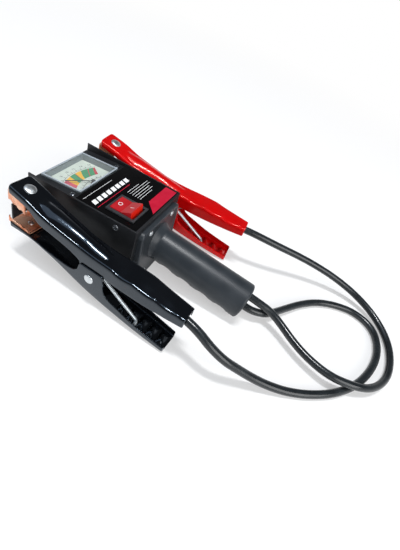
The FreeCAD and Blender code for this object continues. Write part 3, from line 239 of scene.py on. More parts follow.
def finish(name, tones, blotch, rough, grain, depth, **shader):
    """A surface with two tones and two roughnesses, mixed by noise, and a fine bump.

    Blotch and grain are the sizes in millimetres of the noise that mixes the tones and of the
    bump's own noise, and depth is the bump's height in millimetres.
    """
    material = bpy.data.materials.new(name)
    material.use_nodes = True
    tree = material.node_tree
    tree.nodes.clear()
    place = add(tree, "TexCoord").outputs["Object"]
    cloud = add(tree, "TexNoise", {"Vector": place, "Scale": 1 / (blotch * MM), "Detail": 4.0}).outputs["Fac"]
    mix = add(tree, "ValToRGB", {"Fac": cloud})
    for element, position, tone in zip(mix.color_ramp.elements, (NOISE_LOW, NOISE_HIGH), tones):
        element.position = position
        element.color = linear(tone)
    gloss = add(tree, "MapRange", {"Value": cloud, "From Min": NOISE_LOW, "From Max": NOISE_HIGH,
                                   "To Min": rough[0], "To Max": rough[1]})
    pores = add(tree, "TexNoise", {"Vector": place, "Scale": 1 / (grain * MM), "Detail": 2.0})
    bump = add(tree, "Bump", {"Height": pores.outputs["Fac"], "Distance": depth * MM})
    surface = add(tree, "BsdfPrincipled", {"Base Color": mix.outputs["Color"],
                                           "Roughness": gloss.outputs["Result"],
                                           "Normal": bump.outputs["Normal"]})
    for socket, value in shader.items():
        surface.inputs[socket.replace("_", " ")].default_value = value
    add(tree, "OutputMaterial", {"Surface": surface.outputs["BSDF"]})
    return material


COSINE_NONE, COSINE_ALL = 0.35, 0.8


def light_up_side(material, direction, tone):
    """Paints light into a finish: another tone, a painted glow, where its surface looks along a direction.

    The tone's share grows evenly with the cosine between the surface's normal and that direction,
    from none of it to all of it between two values of the cosine.
    """
    tree = material.node_tree
    surface = tree.nodes["Principled BSDF"]
    own = surface.inputs["Base Color"].links[0].from_socket
    normal = add(tree, "TexCoord").outputs["Normal"]
    cosine = add(tree, "VectorMath", {0: normal, 1: direction}, operation="DOT_PRODUCT").outputs["Value"]
    share = add(tree, "MapRange", {"Value": cosine, "From Min": COSINE_NONE, "From Max": COSINE_ALL})
    both = add(tree, "MixRGB", {"Fac": share.outputs["Result"], "Color1": own, "Color2": linear(tone)})
    tree.links.new(both.outputs["Color"], surface.inputs["Base Color"])


# Stoved enamel over pressed steel: a deep glossy skin with a faint orange peel, so lamps show as long streaks
BLACK_ENAMEL = finish("stoved_black_enamel", ("#06070a", "#0a0b0e"), 30, (0.12, 0.18), 6, 0.004,
                      Coat_Weight=0.5, Coat_Roughness=0.05, Coat_Tint=linear("#e6f1fb"),
                      Specular_Tint=linear("#c9e0f4"))
RED_ENAMEL = finish("stoved_red_enamel", ("#ba0406", "#c60608"), 30, (0.14, 0.2), 6, 0.004,
                    Coat_Weight=0.12, Coat_Roughness=0.05, Specular_Tint=linear("#ffa59c"))
# Powder coat on folded sheet: satin black with a fine even texture
POWDER_COAT = finish("satin_black_powder_coat", ("#141619", "#191b1f"), 20, (0.40, 0.5), 0.7, 0.02)
# Screen-printed polyester film: flat gloss black, the print in two plain inks
LABEL_FILM = finish("printed_polyester_film", ("#040405", "#060607"), 25, (0.16, 0.22), 6.0, 0.004,
                    Specular_IOR_Level=0.25)
WHITE_INK = finish("white_screen_ink", ("#e9eaea", "#f3f4f4"), 3, (0.35, 0.45), 0.5, 0.004)
RED_INK = finish("crimson_screen_ink", ("#b50d2e", "#be1032"), 8, (0.28, 0.36), 0.5, 0.004)
# Moulded glass-filled nylon: slate grey, softly shining, a spark-eroded grain that breaks the highlight
GRIP_NYLON = finish("moulded_slate_nylon", ("#272c31", "#2e3338"), 18, (0.36, 0.42), 0.9, 0.02,
                    Specular_IOR_Level=0.35)
# Rolled copper sheet, handled: warm orange with pale rubbed clouds and a soft shine
COPPER = finish("rolled_copper_sheet", ("#f6c6a8", "#e58457"), 12, (0.22, 0.34), 1.5, 0.01, Metallic=0.5)
# Bright zinc plate on steel fasteners: pale and slightly blue, with small rub marks
ZINC = finish("bright_zinc_plate", ("#ccd2d5", "#dde1e3"), 3, (0.3, 0.42), 0.8, 0.01, Metallic=1.0)
# Black zinc plate on small screws: dark metal that glints in its recess
BLACK_ZINC = finish("black_zinc_plate", ("#6a6d72", "#7c7f84"), 2, (0.26, 0.36), 0.6, 0.01, Metallic=1.0)
# Drawn spring wire, zinc plated: long bright lines with a cool tint
SPRING_WIRE = finish("plated_spring_wire", ("#d3dde2", "#e2eaee"), 5, (0.3, 0.4), 1.0, 0.01, Metallic=0.6)
# Soft PVC jacket on the leads: near black with a narrow bright line along its back
CABLE_PVC = finish("extruded_black_pvc", ("#1a1e21", "#22272a"), 14, (0.2, 0.28), 1.6, 0.01)
# Nitrile rubber of the plug and of the leads' inner stretches: dull black
RUBBER = finish("moulded_black_rubber", ("#0f0f10", "#151516"), 6, (0.6, 0.7), 0.8, 0.02)
# Moulded polystyrene of the meter: mid grey, the bezel a shade paler
METER_GREY = finish("moulded_grey_polystyrene", ("#6c777b", "#737e82"), 15, (0.35, 0.42), 0.8, 0.01)
BEZEL_GREY = finish("moulded_pale_polystyrene", ("#a0aab2", "#aab4bc"), 15, (0.25, 0.32), 0.8, 0.008)
# Printed dial card: pale green-white, matt, with inks that lie flat on it
DIAL_CARD = finish("coated_dial_card", ("#c4cfc4", "#ccd6ca"), 10, (0.5, 0.6), 0.6, 0.006)
GREEN_INK = finish("green_dial_ink", ("#1c8550", "#228d57"), 4, (0.45, 0.55), 0.5, 0.003)
YELLOW_INK = finish("yellow_dial_ink", ("#e6ae0c", "#ecb514"), 4, (0.45, 0.55), 0.5, 0.003)
PINK_INK = finish("rose_dial_ink", ("#c4364a", "#cb4052"), 4, (0.45, 0.55), 0.5, 0.003)
DARK_INK = finish("black_dial_ink", ("#1c1f1e", "#242726"), 4, (0.45, 0.55), 0.5, 0.003)
# Painted aluminium pointer: matt black
NEEDLE_PAINT = finish("matt_black_needle_paint", ("#101112", "#17181a"), 4, (0.5, 0.6), 0.5, 0.004)
# Moulded nylon of the switch body: charcoal with a low sheen
SWITCH_NYLON = finish("moulded_charcoal_nylon", ("#2e3033", "#36383b"), 8, (0.3, 0.38), 0.6, 0.012)
# Red polycarbonate rocker: deep red on top, a painted glow on the faces of its raised end by the handle
ROCKER_RED = finish("red_polycarbonate_with_painted_glow", ("#a8161e", "#b01a22"), 10, (0.3, 0.36), 2.0, 0.006,
                    Specular_IOR_Level=0.35)
# Painted glow: faces looking towards the handle take a paler red-orange, as if lit from behind
light_up_side(ROCKER_RED, (0, -1, 0), "#dc2010")
# Acrylic window: clear, with a faint reflection
ACRYLIC = finish("clear_cast_acrylic", ("#f4f8f8", "#f8fbfb"), 30, (0.03, 0.05), 20, 0.002, Alpha=0.05)
# Inside: sintered magnet, turned brass, unglazed steatite, bare steel
MAGNET = finish("sintered_magnet", ("#3c3c3e", "#48484a"), 2, (0.5, 0.62), 0.5, 0.02, Metallic=0.6)
BRASS = finish("turned_brass", ("#c9a75c", "#b89146"), 4, (0.24, 0.34), 0.6, 0.01, Metallic=1.0)
STEATITE = finish("unglazed_steatite", ("#d9d4c8", "#e2ded4"), 5, (0.6, 0.7), 0.5, 0.02)
STEEL = finish("rolled_steel_strip", ("#9a9da0", "#a9acae"), 6, (0.3, 0.42), 0.8, 0.01, Metallic=1.0)

# CAD nodes that keep their own shape, by finish
CARRIED = (
    (LABEL_FILM, ["label_film"]),
    (ACRYLIC, ["meter_window"]),
    (DIAL_CARD, ["dial_plate"]),
    (NEEDLE_PAINT, ["meter_needle"]),
    (COPPER, ["moving_coil", "black_terminal", "red_terminal"]),
    (MAGNET, ["core_magnet"]),
    (STEEL, ["yoke_ring", "load_strip", "load_bar"]),
    (BRASS, ["jewel_bridge", "meter_stud_1", "meter_stud_2", "switch_blade_1", "switch_blade_2"]),
    (STEATITE, ["ceramic_rail_left", "ceramic_rail_right"]),
    (RUBBER, ["cable_plug", "black_inner_lead", "red_inner_lead"]),
)
for material, names in CARRIED:
    for name in names:
        NODES[name].data.materials.clear()
        NODES[name].data.materials.append(material)


# Leads: each a spline along the same points as its CAD tube, listed from its clamp to the handle's butt

LEAD_DIAMETER = 8.0
RED_POINTS = [(73.71, -100.5, 43.8), (75.31, -120.85, 43.8), (79.5, -142, 43), (84, -160, 40.5),
              (90.5, -178, 37), (99, -198, 32.5), (107.5, -221, 27), (115, -251, 20), (115, -285, 12.5),
              (102, -315, 7), (76, -334, 4.5), (46, -338.5, 4.1), (17, -333, 4.6), (-9, -315, 9.5),
              (-22, -292, 14), (-26, -268, 14.5), (-19, -245, 13.6), (-9.5, -227, 13.8), (0, -212, 15.5),
              (6.5, -197, 18.6), (6, -182.5, 22.07), (6, -167.64, 23.93)]
BLACK_POINTS = [(-73.71, -100.5, 43.8), (-75.31, -120.85, 43.8), (-80.5, -142, 42.5), (-84, -157, 37),
                (-83, -172, 29.5), (-78, -186, 22), (-72.5, -202, 14.2), (-66.5, -219, 8.3),
                (-59, -238, 4.6), (-49, -258, 4.1), (-33, -281, 4.1), (-7, -304, 4.1), (28, -319.5, 4.1),
                (59, -323, 4.1), (84, -314, 4.1), (93.5, -291, 4.1), (88, -266, 4.1), (76, -244, 4.1),
                (58, -226, 4.4), (37, -211.5, 6), (19, -200, 8.5), (9.5, -193, 10.3), (3.6, -184.8, 12),
                (0.5, -175.3, 12.9), (0.5, -166.4, 14.0)]


def make_lead(name, points):
    """One lead: a round tube about a quadratic spline whose control points are the route's own.

    It goes out from the handle's butt, so the route is taken backwards.
    """
    route = np.array(points[::-1], float) * MM
    curve = bpy.data.curves.new(name + "_lead", "CURVE")
    curve.dimensions = "3D"
    spline = curve.splines.new("NURBS")
    spline.points.add(len(route) - 1)
    spline.points.foreach_set("co", np.column_stack([route, np.ones(len(route))]).ravel())
    spline.order_u = 3
    spline.use_endpoint_u = True
    spline.resolution_u = 8
    curve.bevel_depth = LEAD_DIAMETER / 2 * MM
    curve.bevel_resolution = 6
    curve.use_fill_caps = True
    curve.materials.append(CABLE_PVC)
    lead = bpy.data.objects.new(name + "_lead", curve)
    bpy.context.scene.collection.objects.link(lead)
    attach(lead, "tester")
    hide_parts(name + "_cable")


make_lead("red", RED_POINTS)
make_lead("black", BLACK_POINTS)


# Clamps: each worked out about its pivot, x from jaws to tails, y across, z up

OPENS_DOWN, OPENS_UP = -1, 1
ARM_SHEET = 1.3
ARM_BEND = 2.6
ARM_STEP = 0.8
TIP = -88.0
JAW_CROWN = 43.4
JAW_SLOPE = 0.235

# Upper arm: its lines as knots of place and value
UPPER_TAIL = 90.0
UPPER_JAW_CORNER = 2.4
UPPER_TAIL_CORNER = 1.2
UPPER_WEB = [(TIP, JAW_CROWN), (-68, 38.7), (-60, 35.8), (-52, 33.2), (-42, 31), (-28, 28.3), (-15, 26),
             (2, 24.5), (16, 24.3), (45, 24.3), (58, 22.8), (72, 21.5), (UPPER_TAIL, 20)]
UPPER_RIM = [(TIP, 37.9), (-68, 33.2), (-54, 24), (-44, 22.2), (-12.75, 12.6), (-9.35, -4.25), (0, -8.5),
             (9.35, -4.25), (14.45, 10.6), (28, 10.4), (45, 10.2), (70, 10.2), (UPPER_TAIL, 11)]
UPPER_HALF = [(TIP, 12.75), (-54, 12.6), (-30, 11.8), (-12.75, 11.2), (12, 11.3), (30, 11.9), (50, 11.6),
              (70, 10.4), (UPPER_TAIL, 9.2)]
RIDGE_RISE = [(TIP, 0), (-66, 0), (-54, 2.4), (-42, 3.6), (-28, 3.9), (-14, 3.7), (-2, 2.5), (8, 0.9),
              (13, 0), (UPPER_TAIL, 0)]
RIDGE_HALF = [(TIP, 4), (-66, 4), (-60, 5.2), (-54, 7.4), (-48, 9), (-40, 9.4), (-14, 8.6), (-2, 7.1),
              (4, 5.6), (8, 4.3), (13, 4), (UPPER_TAIL, 4)]
# As shares of the half width: how much of the flat a ridge may take, and how far across a dip begins
RIDGE_MOST = 0.92
DIP_FROM = -0.2
FINGERS_FROM = 17.0
FINGER_PITCH = 22.0
FINGER_FADE = 6.0
FINGER_DIP = 1.5
CUSP_BLUNT = 0.015

# Lower arm, in the same way
LOWER_TAIL = 83.5
LOWER_CORNER = 1.6
LOWER_WEB = [(TIP, -0.4), (-68, 0.2), (-44, -4.2), (0, -17.7), (32.8, -24.2), (LOWER_TAIL, -30.1)]
LOWER_RIM = [(TIP, 5), (-68, 3.2), (-44, -0.9), (-24, -2.2), (-16.9, -0.9), (-12.8, 3), (-11.5, 9.4),
             (-9.2, 10.8), (11.8, 10.8), (13.4, 7), (14.6, -1.35), (17.55, -8.6), (32.8, -14.6),
             (50, -19.4), (LOWER_TAIL, -24.6)]
LOWER_HALF = [(TIP, 12.65), (41, 12.65), (LOWER_TAIL, 11.7)]
HUMPS_FROM, HUMPS_TO = 27.0, 82.0
HUMP_PITCH = 11.0
HUMP_FADE = 3.0
HUMP_RISE = 3.0
HUMP_HALF = 7.0
TAIL_ASIDE = 0.9
ASIDE_FROM, ASIDE_TO = 30.0, 80.0

# Copper linings of the jaws
JAW_FROM, JAW_TO = -90.7, -71.5
JAW_SHEET = 1.2
JAW_PITCH = (JAW_TO - JAW_FROM) / 3
LINING_STEP = 0.35
LINING_BEND = 2.0
LINING_CORNER = 1.0
UPPER_LINING_TOP = 41.23
UPPER_LINING_DEEP = 13.5
UPPER_LINING_HALF = 11.35
UPPER_LINING_WAVE = 1.6
CURL_DROP = 4.0
CURL_AHEAD, CURL_BEHIND = 1.0, 3.6
NOSE_IN = 0.8
NOSE_TO = -80.0
LOWER_LINING_LONGER = 4.0
LOWER_LINING_UNDERSIDE = 2.8
LOWER_LINING_RIM = 9.2
LOWER_LINING_FALL = 0.16
LOWER_LINING_HALF = 11.25
LOWER_LINING_WAVE = 1.4

# Rivets: radius, rise and depth of the dimple of each head, and where it sits
UPPER_RIVET = (5.2, 1.6, 0.0)
LOWER_RIVET = (2.6, 1.1, 0.5)
PIVOT_RIVET = (4.5, 1.4, 0.35)
RIVET_X = -76.7
UPPER_RIVET_LIFT = 0.1
LOWER_RIVET_Z = 4.2
PIVOT_HALF = 12.75
DOME_POWER = 2.6
DOME_ROOT = 2.2
DIMPLE_SPREAD = 0.28
RIVET_SKIRT = 0.5

# Torsion spring about the pivot
WIRE_RADIUS = 1.55
COIL_RADIUS = 6.0
COIL_TURNS = 3
COIL_PITCH = 3.5
LEG_REACH = 50.0
LEG_LOW, LEG_HIGH = -22.5, 19.7
HOOK_BEND = 3.0
HOOK_LONG = 4.8


def pressed_channel(x, web, rim, half, sheet, bend, opens, ridge=(0.0, 1.0), dip=0.0, shift=0.0):
    """A pressed U channel as one closed skin: rows are sections along x, columns run round the section.

    The web is flat between two quarter-round bends, with a ridge on it, a parabola of that rise
    and half width. Straight flanges go from the bends to the rim, where the sheet's edge is a
    half circle. The inside is the same line, one sheet smaller. Dip draws the bend on the
    negative side towards the rim, fading out across the web, and shift moves the whole section
    across.
    """
    border = np.linspace(1, 0, 5)
    bow = np.linspace(1, -1, 45)[1:-1]
    corner = np.linspace(0, np.pi / 2, 8)[:-1]
    flange = np.linspace(0, 1, 9)[:-1]
    edge = np.linspace(0, np.pi, 10)[1:-1]
    lines = (np.broadcast_to(a, np.shape(x))[:, None] for a in (x, web, rim, half, dip, shift, *ridge))
    x, web, rim, half, dip, shift, ridge_rise, ridge_half = lines

    def skin(inset):
        wide, level, round_by = half - inset, web + opens * inset, bend - inset
        foot = level + opens * round_by
        side_z = rim + (foot - rim) * flange
        bend_y = wide - round_by + round_by * np.cos(corner)
        bend_z = foot - opens * round_by * np.sin(corner) + 0 * wide
        flat_half = wide - round_by
        foot_y = np.minimum(ridge_half, RIDGE_MOST * flat_half)
        border_y = foot_y + (flat_half - foot_y) * border
        flat_y = np.concatenate([border_y, foot_y * bow, -border_y[:, ::-1]], axis=1)
        share = np.clip(np.abs(flat_y) / foot_y, 0, 1)
        flat_z = level - opens * ridge_rise * (1 - share ** 2)
        half_y = np.concatenate([wide + 0 * side_z, bend_y], axis=1)
        half_z = np.concatenate([side_z, bend_z], axis=1)
        return (np.concatenate([half_y, flat_y, -half_y[:, ::-1]], axis=1),
                np.concatenate([half_z, flat_z, half_z[:, ::-1]], axis=1))
    outer_y, outer_z = skin(0.0)
    inner_y, inner_z = skin(sheet)
    lip_y = half - sheet / 2 + sheet / 2 * np.cos(edge)
    lip_z = rim + opens * sheet / 2 * np.sin(edge)
    y = np.concatenate([outer_y, -lip_y, inner_y[:, ::-1], lip_y[:, ::-1]], axis=1)
    z = np.concatenate([outer_z, lip_z, inner_z[:, ::-1], lip_z[:, ::-1]], axis=1)
    lowered = ease(-y / half, DIP_FROM, 1.0) * np.clip((z - rim) / (web - rim), 0, 1)
    points = np.stack(np.broadcast_arrays(x, y + shift, z + opens * dip * lowered), axis=-1)
    return grid(points, columns_meet=True, capped=True)


def corner_in(x, end, radius):
    """How far a plan corner of that radius draws the width in, at a place before or behind an end."""
    gap = np.clip(radius - np.abs(x - end), 0, radius)
    return radius - np.sqrt(radius ** 2 - gap ** 2)


def stations(start, end, pitch):
    """Places along a piece at about that pitch, with more of them close to both ends."""
    ends = np.array([0.0, 0.06, 0.2, 0.45, 0.8, 1.3, 1.9, 2.6])
    margin = 3.4
    middle = np.linspace(start + margin, end - margin, int((end - start) / pitch))
    return np.concatenate([start + ends, middle, end - ends[::-1]])


def upper_arm():
    """The upper arm: a flat jaw, a round ridge to the pivot, and a flat handle with a waved bend.

    The finger waves are a sine without its sign, blunted at its cusps and faded out at both ends.
    """
    x = stations(TIP, UPPER_TAIL, ARM_STEP)
    swell = np.sqrt(np.sin(np.pi * (x - FINGERS_FROM) / FINGER_PITCH) ** 2 + CUSP_BLUNT)
    dip = FINGER_DIP * swell * faded(x, FINGERS_FROM, UPPER_TAIL, FINGER_FADE)
    corners = corner_in(x, TIP, UPPER_JAW_CORNER) + corner_in(x, UPPER_TAIL, UPPER_TAIL_CORNER)
    ridge = smooth_line(x, RIDGE_RISE), smooth_line(x, RIDGE_HALF)
    return pressed_channel(x, smooth_line(x, UPPER_WEB), smooth_line(x, UPPER_RIM),
                           smooth_line(x, UPPER_HALF) - corners, ARM_SHEET, ARM_BEND, OPENS_DOWN,
                           ridge, dip=dip)


def lower_arm():
    """The lower arm: a shallow channel with tall ears at the pivot and humps pressed up across its handle.

    The humps are raised cosines, faded out at both ends, and the tail stands a little aside.
    """
    x = stations(TIP, LOWER_TAIL, ARM_STEP)
    swell = raised_cosine(x, HUMPS_FROM, HUMP_PITCH)
    humps = -HUMP_RISE * swell * faded(x, HUMPS_FROM, HUMPS_TO, HUMP_FADE)
    corners = corner_in(x, TIP, LOWER_CORNER) + corner_in(x, LOWER_TAIL, LOWER_CORNER)
    aside = -TAIL_ASIDE * ease(x, ASIDE_FROM, ASIDE_TO)
    return pressed_channel(x, smooth_line(x, LOWER_WEB), smooth_line(x, LOWER_RIM),
                           smooth_line(x, LOWER_HALF) - corners, ARM_SHEET, ARM_BEND, OPENS_UP,
                           (humps, HUMP_HALF), shift=aside)


def upper_lining():
    """Copper lining of the upper jaw: a U under the sloping web, its hanging edges waved.

    It curls down in front, easing into the slope, and narrows towards its nose.
    """
    x = stations(JAW_FROM, JAW_TO, LINING_STEP)
    level = UPPER_LINING_TOP - JAW_SLOPE * (x - JAW_FROM)
    rim = level - UPPER_LINING_DEEP + UPPER_LINING_WAVE * raised_cosine(x, JAW_FROM, JAW_PITCH)
    curl = CURL_DROP * (1 - ease(x, JAW_FROM - CURL_AHEAD, JAW_FROM + CURL_BEHIND))
    nose = NOSE_IN * (1 - ease(x, JAW_FROM, NOSE_TO)) + corner_in(x, JAW_FROM, LINING_CORNER)
    return pressed_channel(x, level - curl, rim, UPPER_LINING_HALF - nose, JAW_SHEET, LINING_BEND, OPENS_DOWN)


def lower_lining():
    """Copper lining of the lower jaw: a U on the arm's web, its standing edges waved."""
    x = stations(JAW_FROM, JAW_TO + LOWER_LINING_LONGER, LINING_STEP)
    rim = LOWER_LINING_RIM - LOWER_LINING_FALL * (x - JAW_FROM)
    rim = rim - LOWER_LINING_WAVE * raised_cosine(x, JAW_FROM, JAW_PITCH)
    half = LOWER_LINING_HALF - corner_in(x, JAW_FROM, LINING_CORNER)
    return pressed_channel(x, LOWER_LINING_UNDERSIDE, rim, half, JAW_SHEET, LINING_BEND, OPENS_UP)


def turned(radius, height):
    """A profile of radii and heights turned about its z axis; ends at radius 0 close as poles."""
    angle = np.linspace(0, 2 * np.pi, 56, endpoint=False)
    radius, height = (np.asarray(a, float)[:, None] for a in (radius, height))
    points = np.stack(np.broadcast_arrays(radius * np.cos(angle), radius * np.sin(angle), height), axis=-1)
    return grid(points, columns_meet=True)


def rivet_head(radius, rise, dimple):
    """A domed rivet head on a short skirt.

    Its height is a root of one less a power of the radius share, times the rise, less a
    bell-shaped dimple about the axis.
    """
    share = np.sin(np.linspace(0, np.pi / 2, 28))
    dome = rise * (1 - share ** DOME_POWER) ** (1 / DOME_ROOT)
    dome = dome - dimple * np.exp(-(share / DIMPLE_SPREAD) ** 2)
    return turned(np.append(radius * share, [radius, 0.0]), np.append(dome, [-RIVET_SKIRT, -RIVET_SKIRT]))


def spring_line():
    """Middle line of the torsion spring: a hooked leg, three turns about the pivot and a straight leg.

    Each leg is the tangent from its far end to the coil; the turns climb steadily across.
    """
    low, high = np.array([LEG_REACH, LEG_LOW]), np.array([LEG_REACH, LEG_HIGH])
    first = math.atan2(low[1], low[0]) + math.acos(COIL_RADIUS / np.hypot(*low))
    last = math.atan2(high[1], high[0]) - math.acos(COIL_RADIUS / np.hypot(*high)) + 2 * math.pi * COIL_TURNS
    angle = np.linspace(first, last, 40 * COIL_TURNS)
    across = COIL_PITCH / (2 * math.pi) * (angle - (first + last) / 2)
    coil = np.stack([COIL_RADIUS * np.cos(angle), across, COIL_RADIUS * np.sin(angle)], axis=1)
    corner = np.array([low[0], across[0], low[1]])
    way = (coil[0] - corner) / np.linalg.norm(coil[0] - corner)
    aside = np.array([0.0, -1.0, 0.0])
    quarter = np.linspace(0, np.pi / 2, 9)[:, None]
    elbow = corner + HOOK_BEND * (aside * (1 - np.sin(quarter)) + way * (1 - np.cos(quarter)))
    leg = elbow[-1] + (coil[0] - elbow[-1]) * np.linspace(0.05, 0.95, 12)[:, None]
    end = np.array([high[0], across[-1], high[1]])
    tail = coil[-1] + (end - coil[-1]) * np.linspace(0.08, 1, 12)[:, None]
    return np.concatenate([[corner + aside * HOOK_LONG], elbow, leg, coil, tail])


def wire_mesh(name, path, radius):
    """A round wire along a path, from a curve with that bevel, as a mesh."""
    curve = bpy.data.curves.new(name, "CURVE")
    curve.dimensions = "3D"
    spline = curve.splines.new("POLY")
    spline.points.add(len(path) - 1)
    spline.points.foreach_set("co", np.column_stack([path, np.ones(len(path))]).ravel())
    curve.bevel_depth = radius * MM
    curve.bevel_resolution = 5
    curve.use_fill_caps = True
    line = bpy.data.objects.new(name, curve)
    mesh = bpy.data.meshes.new_from_object(line)
    mesh.name = name
    bpy.data.objects.remove(line)
    bpy.data.curves.remove(curve)
    return mesh


def make_clamp(name, enamel):
    """One clamp: two arms, linings, rivets and the spring between, in the frame of its joint."""
    joint = JOINTS[name + "_clamp_open"]
    origin = np.array(joint["pos_m"])
    across = -np.array(joint["axis"])
    axes = np.stack([np.cross(across, Z_AXIS), across, Z_AXIS])
    jaw = name + "_jaw"

    def make(label, patches, material, body, node):
        mesh = mesh_of(f"{name}_{label}", [set_down(patch, origin, axes) for patch in patches])
        piece(mesh, material, body, [f"{name}_{node}"], sharp=25)
    make("upper_pressing", [upper_arm()], enamel, "tester", "upper_arm")
    make("lower_pressing", [lower_arm()], enamel, jaw, "lower_arm")
    make("upper_lining", [upper_lining()], COPPER, "tester", "upper_jaw")
    make("lower_lining", [lower_lining()], COPPER, jaw, "lower_jaw")

    lean = math.atan(JAW_SLOPE)
    sloped = np.array([[math.cos(lean), 0, -math.sin(lean)], [0, 1, 0], [math.sin(lean), 0, math.cos(lean)]])
    crown = np.array([RIVET_X, 0, JAW_CROWN - JAW_SLOPE * (RIVET_X - TIP)]) + sloped[2] * UPPER_RIVET_LIFT
    upper = moved(rivet_head(*UPPER_RIVET), crown, sloped)
    lower = moved(rivet_head(*LOWER_RIVET), (RIVET_X, 0, LOWER_RIVET_Z))
    make("upper_rivet_head", [upper], ZINC, "tester", "upper_jaw_rivet")
    make("lower_rivet_head", [lower], ZINC, jaw, "lower_jaw_rivet")
    heads = []
    for side in (-1, 1):
        outward = np.array([[1, 0, 0], [0, 0, -1], [0, side, 0]])
        heads.append(moved(rivet_head(*PIVOT_RIVET), (0, side * PIVOT_HALF, 0), outward))
    make("pivot_heads", heads, ZINC, "tester", "pivot_rivet")

    mesh = wire_mesh(f"{name}_torsion_spring", placed(spring_line(), origin, axes), WIRE_RADIUS)
    spring = piece(mesh, SPRING_WIRE, None, [name + "_spring"], sharp=60)
    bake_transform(spring)


CLAMPS = (("black", BLACK_ENAMEL, "black_paint"), ("red", RED_ENAMEL, "red_paint"))
for name, enamel, paint in CLAMPS:
    make_clamp(name, enamel)


# Handle: flange, neck, grip with finger grooves and open butt

WALL_Y = -56.0
GRIP_Z = 33.8
GRIP_TILT = math.radians(7.1)
GRIP_LENGTH = 112.0
GRIP_RADIUS = 17.2
BUTT_RADIUS = 19.2
BUTT_FILLET = 2.6
NECK_FLARE = 4.2
NECK_LENGTH = 11.0
BORE_RADIUS = 12.5
BORE_CHAMFER = 0.8
GROOVE_RADIUS = 17.0
GROOVE_DEPTH = 1.8
GROOVES = (94.0, 72.0, 50.0, 28.0)
# Where a groove begins round the grip, as the sine of the angle below its middle
GROOVE_FROM = 0.25
GRIP_START = np.array([0, WALL_Y, GRIP_Z]) * MM
GRIP_AXES = np.array([[1, 0, 0], [0, -math.sin(GRIP_TILT), math.cos(GRIP_TILT)],
                      [0, -math.cos(GRIP_TILT), -math.sin(GRIP_TILT)]])
FLANGE_HALF = 37.0
FLANGE_LOW, FLANGE_HIGH = 2.0, 62.0
FLANGE_CORNER = 6.0
FLANGE_DEEP = 8.0
FLANGE_LEAN = 3.5
FLANGE_ROUND = 1.4
# The raised rim of the flange's face: insets of a flat, a soft edge and a floor, and how far back each lies
RIM_INSETS = (3.2, 3.6, 4.0)
RIM_BACKS = (0.0, 0.12, 0.4)


def grip_skin():
    """The grip as one skin: rows run out along it, over its butt and back down its bore.

    Its radius eases down from the neck's flare and grows evenly to the butt, which ends in a
    quarter round. Round grooves draw the underside in: each is as deep as its circle goes below
    the skin, in full underneath and fading out up the sides.
    """
    turn = np.linspace(0, 2 * np.pi, 96, endpoint=False)
    straight = GRIP_LENGTH - BUTT_FILLET
    reach = np.linspace(0, straight, 150)
    growth = (BUTT_RADIUS - GRIP_RADIUS) * reach / GRIP_LENGTH
    radius = GRIP_RADIUS + growth + NECK_FLARE * (1 - ease(reach, 0, NECK_LENGTH))
    drawn = np.zeros_like(reach)
    for middle in GROOVES:
        circle = np.sqrt(np.clip(GROOVE_RADIUS ** 2 - (reach - middle) ** 2, 0, None))
        drawn += np.clip(circle - GROOVE_RADIUS + GROOVE_DEPTH, 0, None)
    quarter = np.linspace(0, np.pi / 2, 9)[1:]
    bore_reach = [GRIP_LENGTH, GRIP_LENGTH - BORE_CHAMFER, 0.0]
    bore_radius = [BORE_RADIUS + BORE_CHAMFER, BORE_RADIUS, BORE_RADIUS]
    butt_radius = BUTT_RADIUS - BUTT_FILLET + BUTT_FILLET * np.cos(quarter)
    reach = np.concatenate([reach, straight + BUTT_FILLET * np.sin(quarter), bore_reach])[:, None]
    radius = np.concatenate([radius, butt_radius, bore_radius])[:, None]
    drawn = np.concatenate([drawn, np.zeros(len(radius) - len(drawn))])[:, None]
    radius = radius - drawn * ease(-np.sin(turn), GROOVE_FROM, 1.0)
    return grid(np.stack(np.broadcast_arrays(radius * np.cos(turn), radius * np.sin(turn), reach), axis=-1),
                rows_meet=True, columns_meet=True)


def flange_outline(inset):
    """The flange's outline, a rectangle with round corners, drawn in evenly by an inset."""
    corner = np.linspace(0, np.pi / 2, 9)
    bend = FLANGE_CORNER - inset
    middle_x = FLANGE_HALF - FLANGE_CORNER
    low_z, high_z = FLANGE_LOW + FLANGE_CORNER, FLANGE_HIGH - FLANGE_CORNER
    x = np.concatenate([middle_x + bend * np.cos(corner), -middle_x - bend * np.sin(corner),
                        -middle_x - bend * np.cos(corner), middle_x + bend * np.sin(corner)])
    z = np.concatenate([high_z + bend * np.sin(corner), high_z + bend * np.cos(corner),
                        low_z - bend * np.sin(corner), low_z - bend * np.cos(corner)])
    return x, z


def flange_skin():
    """The flange: its outline from the case's wall out to a face that leans with the grip.

    Its front edge is a quarter round, and a shallow step inside it leaves a raised rim.
    """
    quarter = np.linspace(0, np.pi / 2, 7)
    insets = np.concatenate([[0.0], FLANGE_ROUND * (1 - np.cos(quarter)), RIM_INSETS])
    backs = np.concatenate([[FLANGE_ROUND], FLANGE_ROUND * (1 - np.sin(quarter)), RIM_BACKS])
    x, z = flange_outline(0.0)
    rows = [np.stack([x, np.full_like(z, WALL_Y), z], axis=1)]
    for inset, back in zip(insets, backs):
        x, z = flange_outline(inset)
        deep = FLANGE_DEEP - FLANGE_LEAN * (z - FLANGE_LOW) / (FLANGE_HIGH - FLANGE_LOW)
        rows.append(np.stack([x, WALL_Y - deep + back, z], axis=1))
    return grid(np.array(rows), columns_meet=True, capped=True)


mesh = mesh_of("moulded_grip", [set_down(grip_skin(), GRIP_START, GRIP_AXES),
                                set_down(flange_skin(), (0, 0, 0), LEVEL)])
piece(mesh, GRIP_NYLON, "tester", ["handle_grip"], sharp=50)


# Screws: pan heads with a cross recess, whose sizes are shares of the head's radius and rise

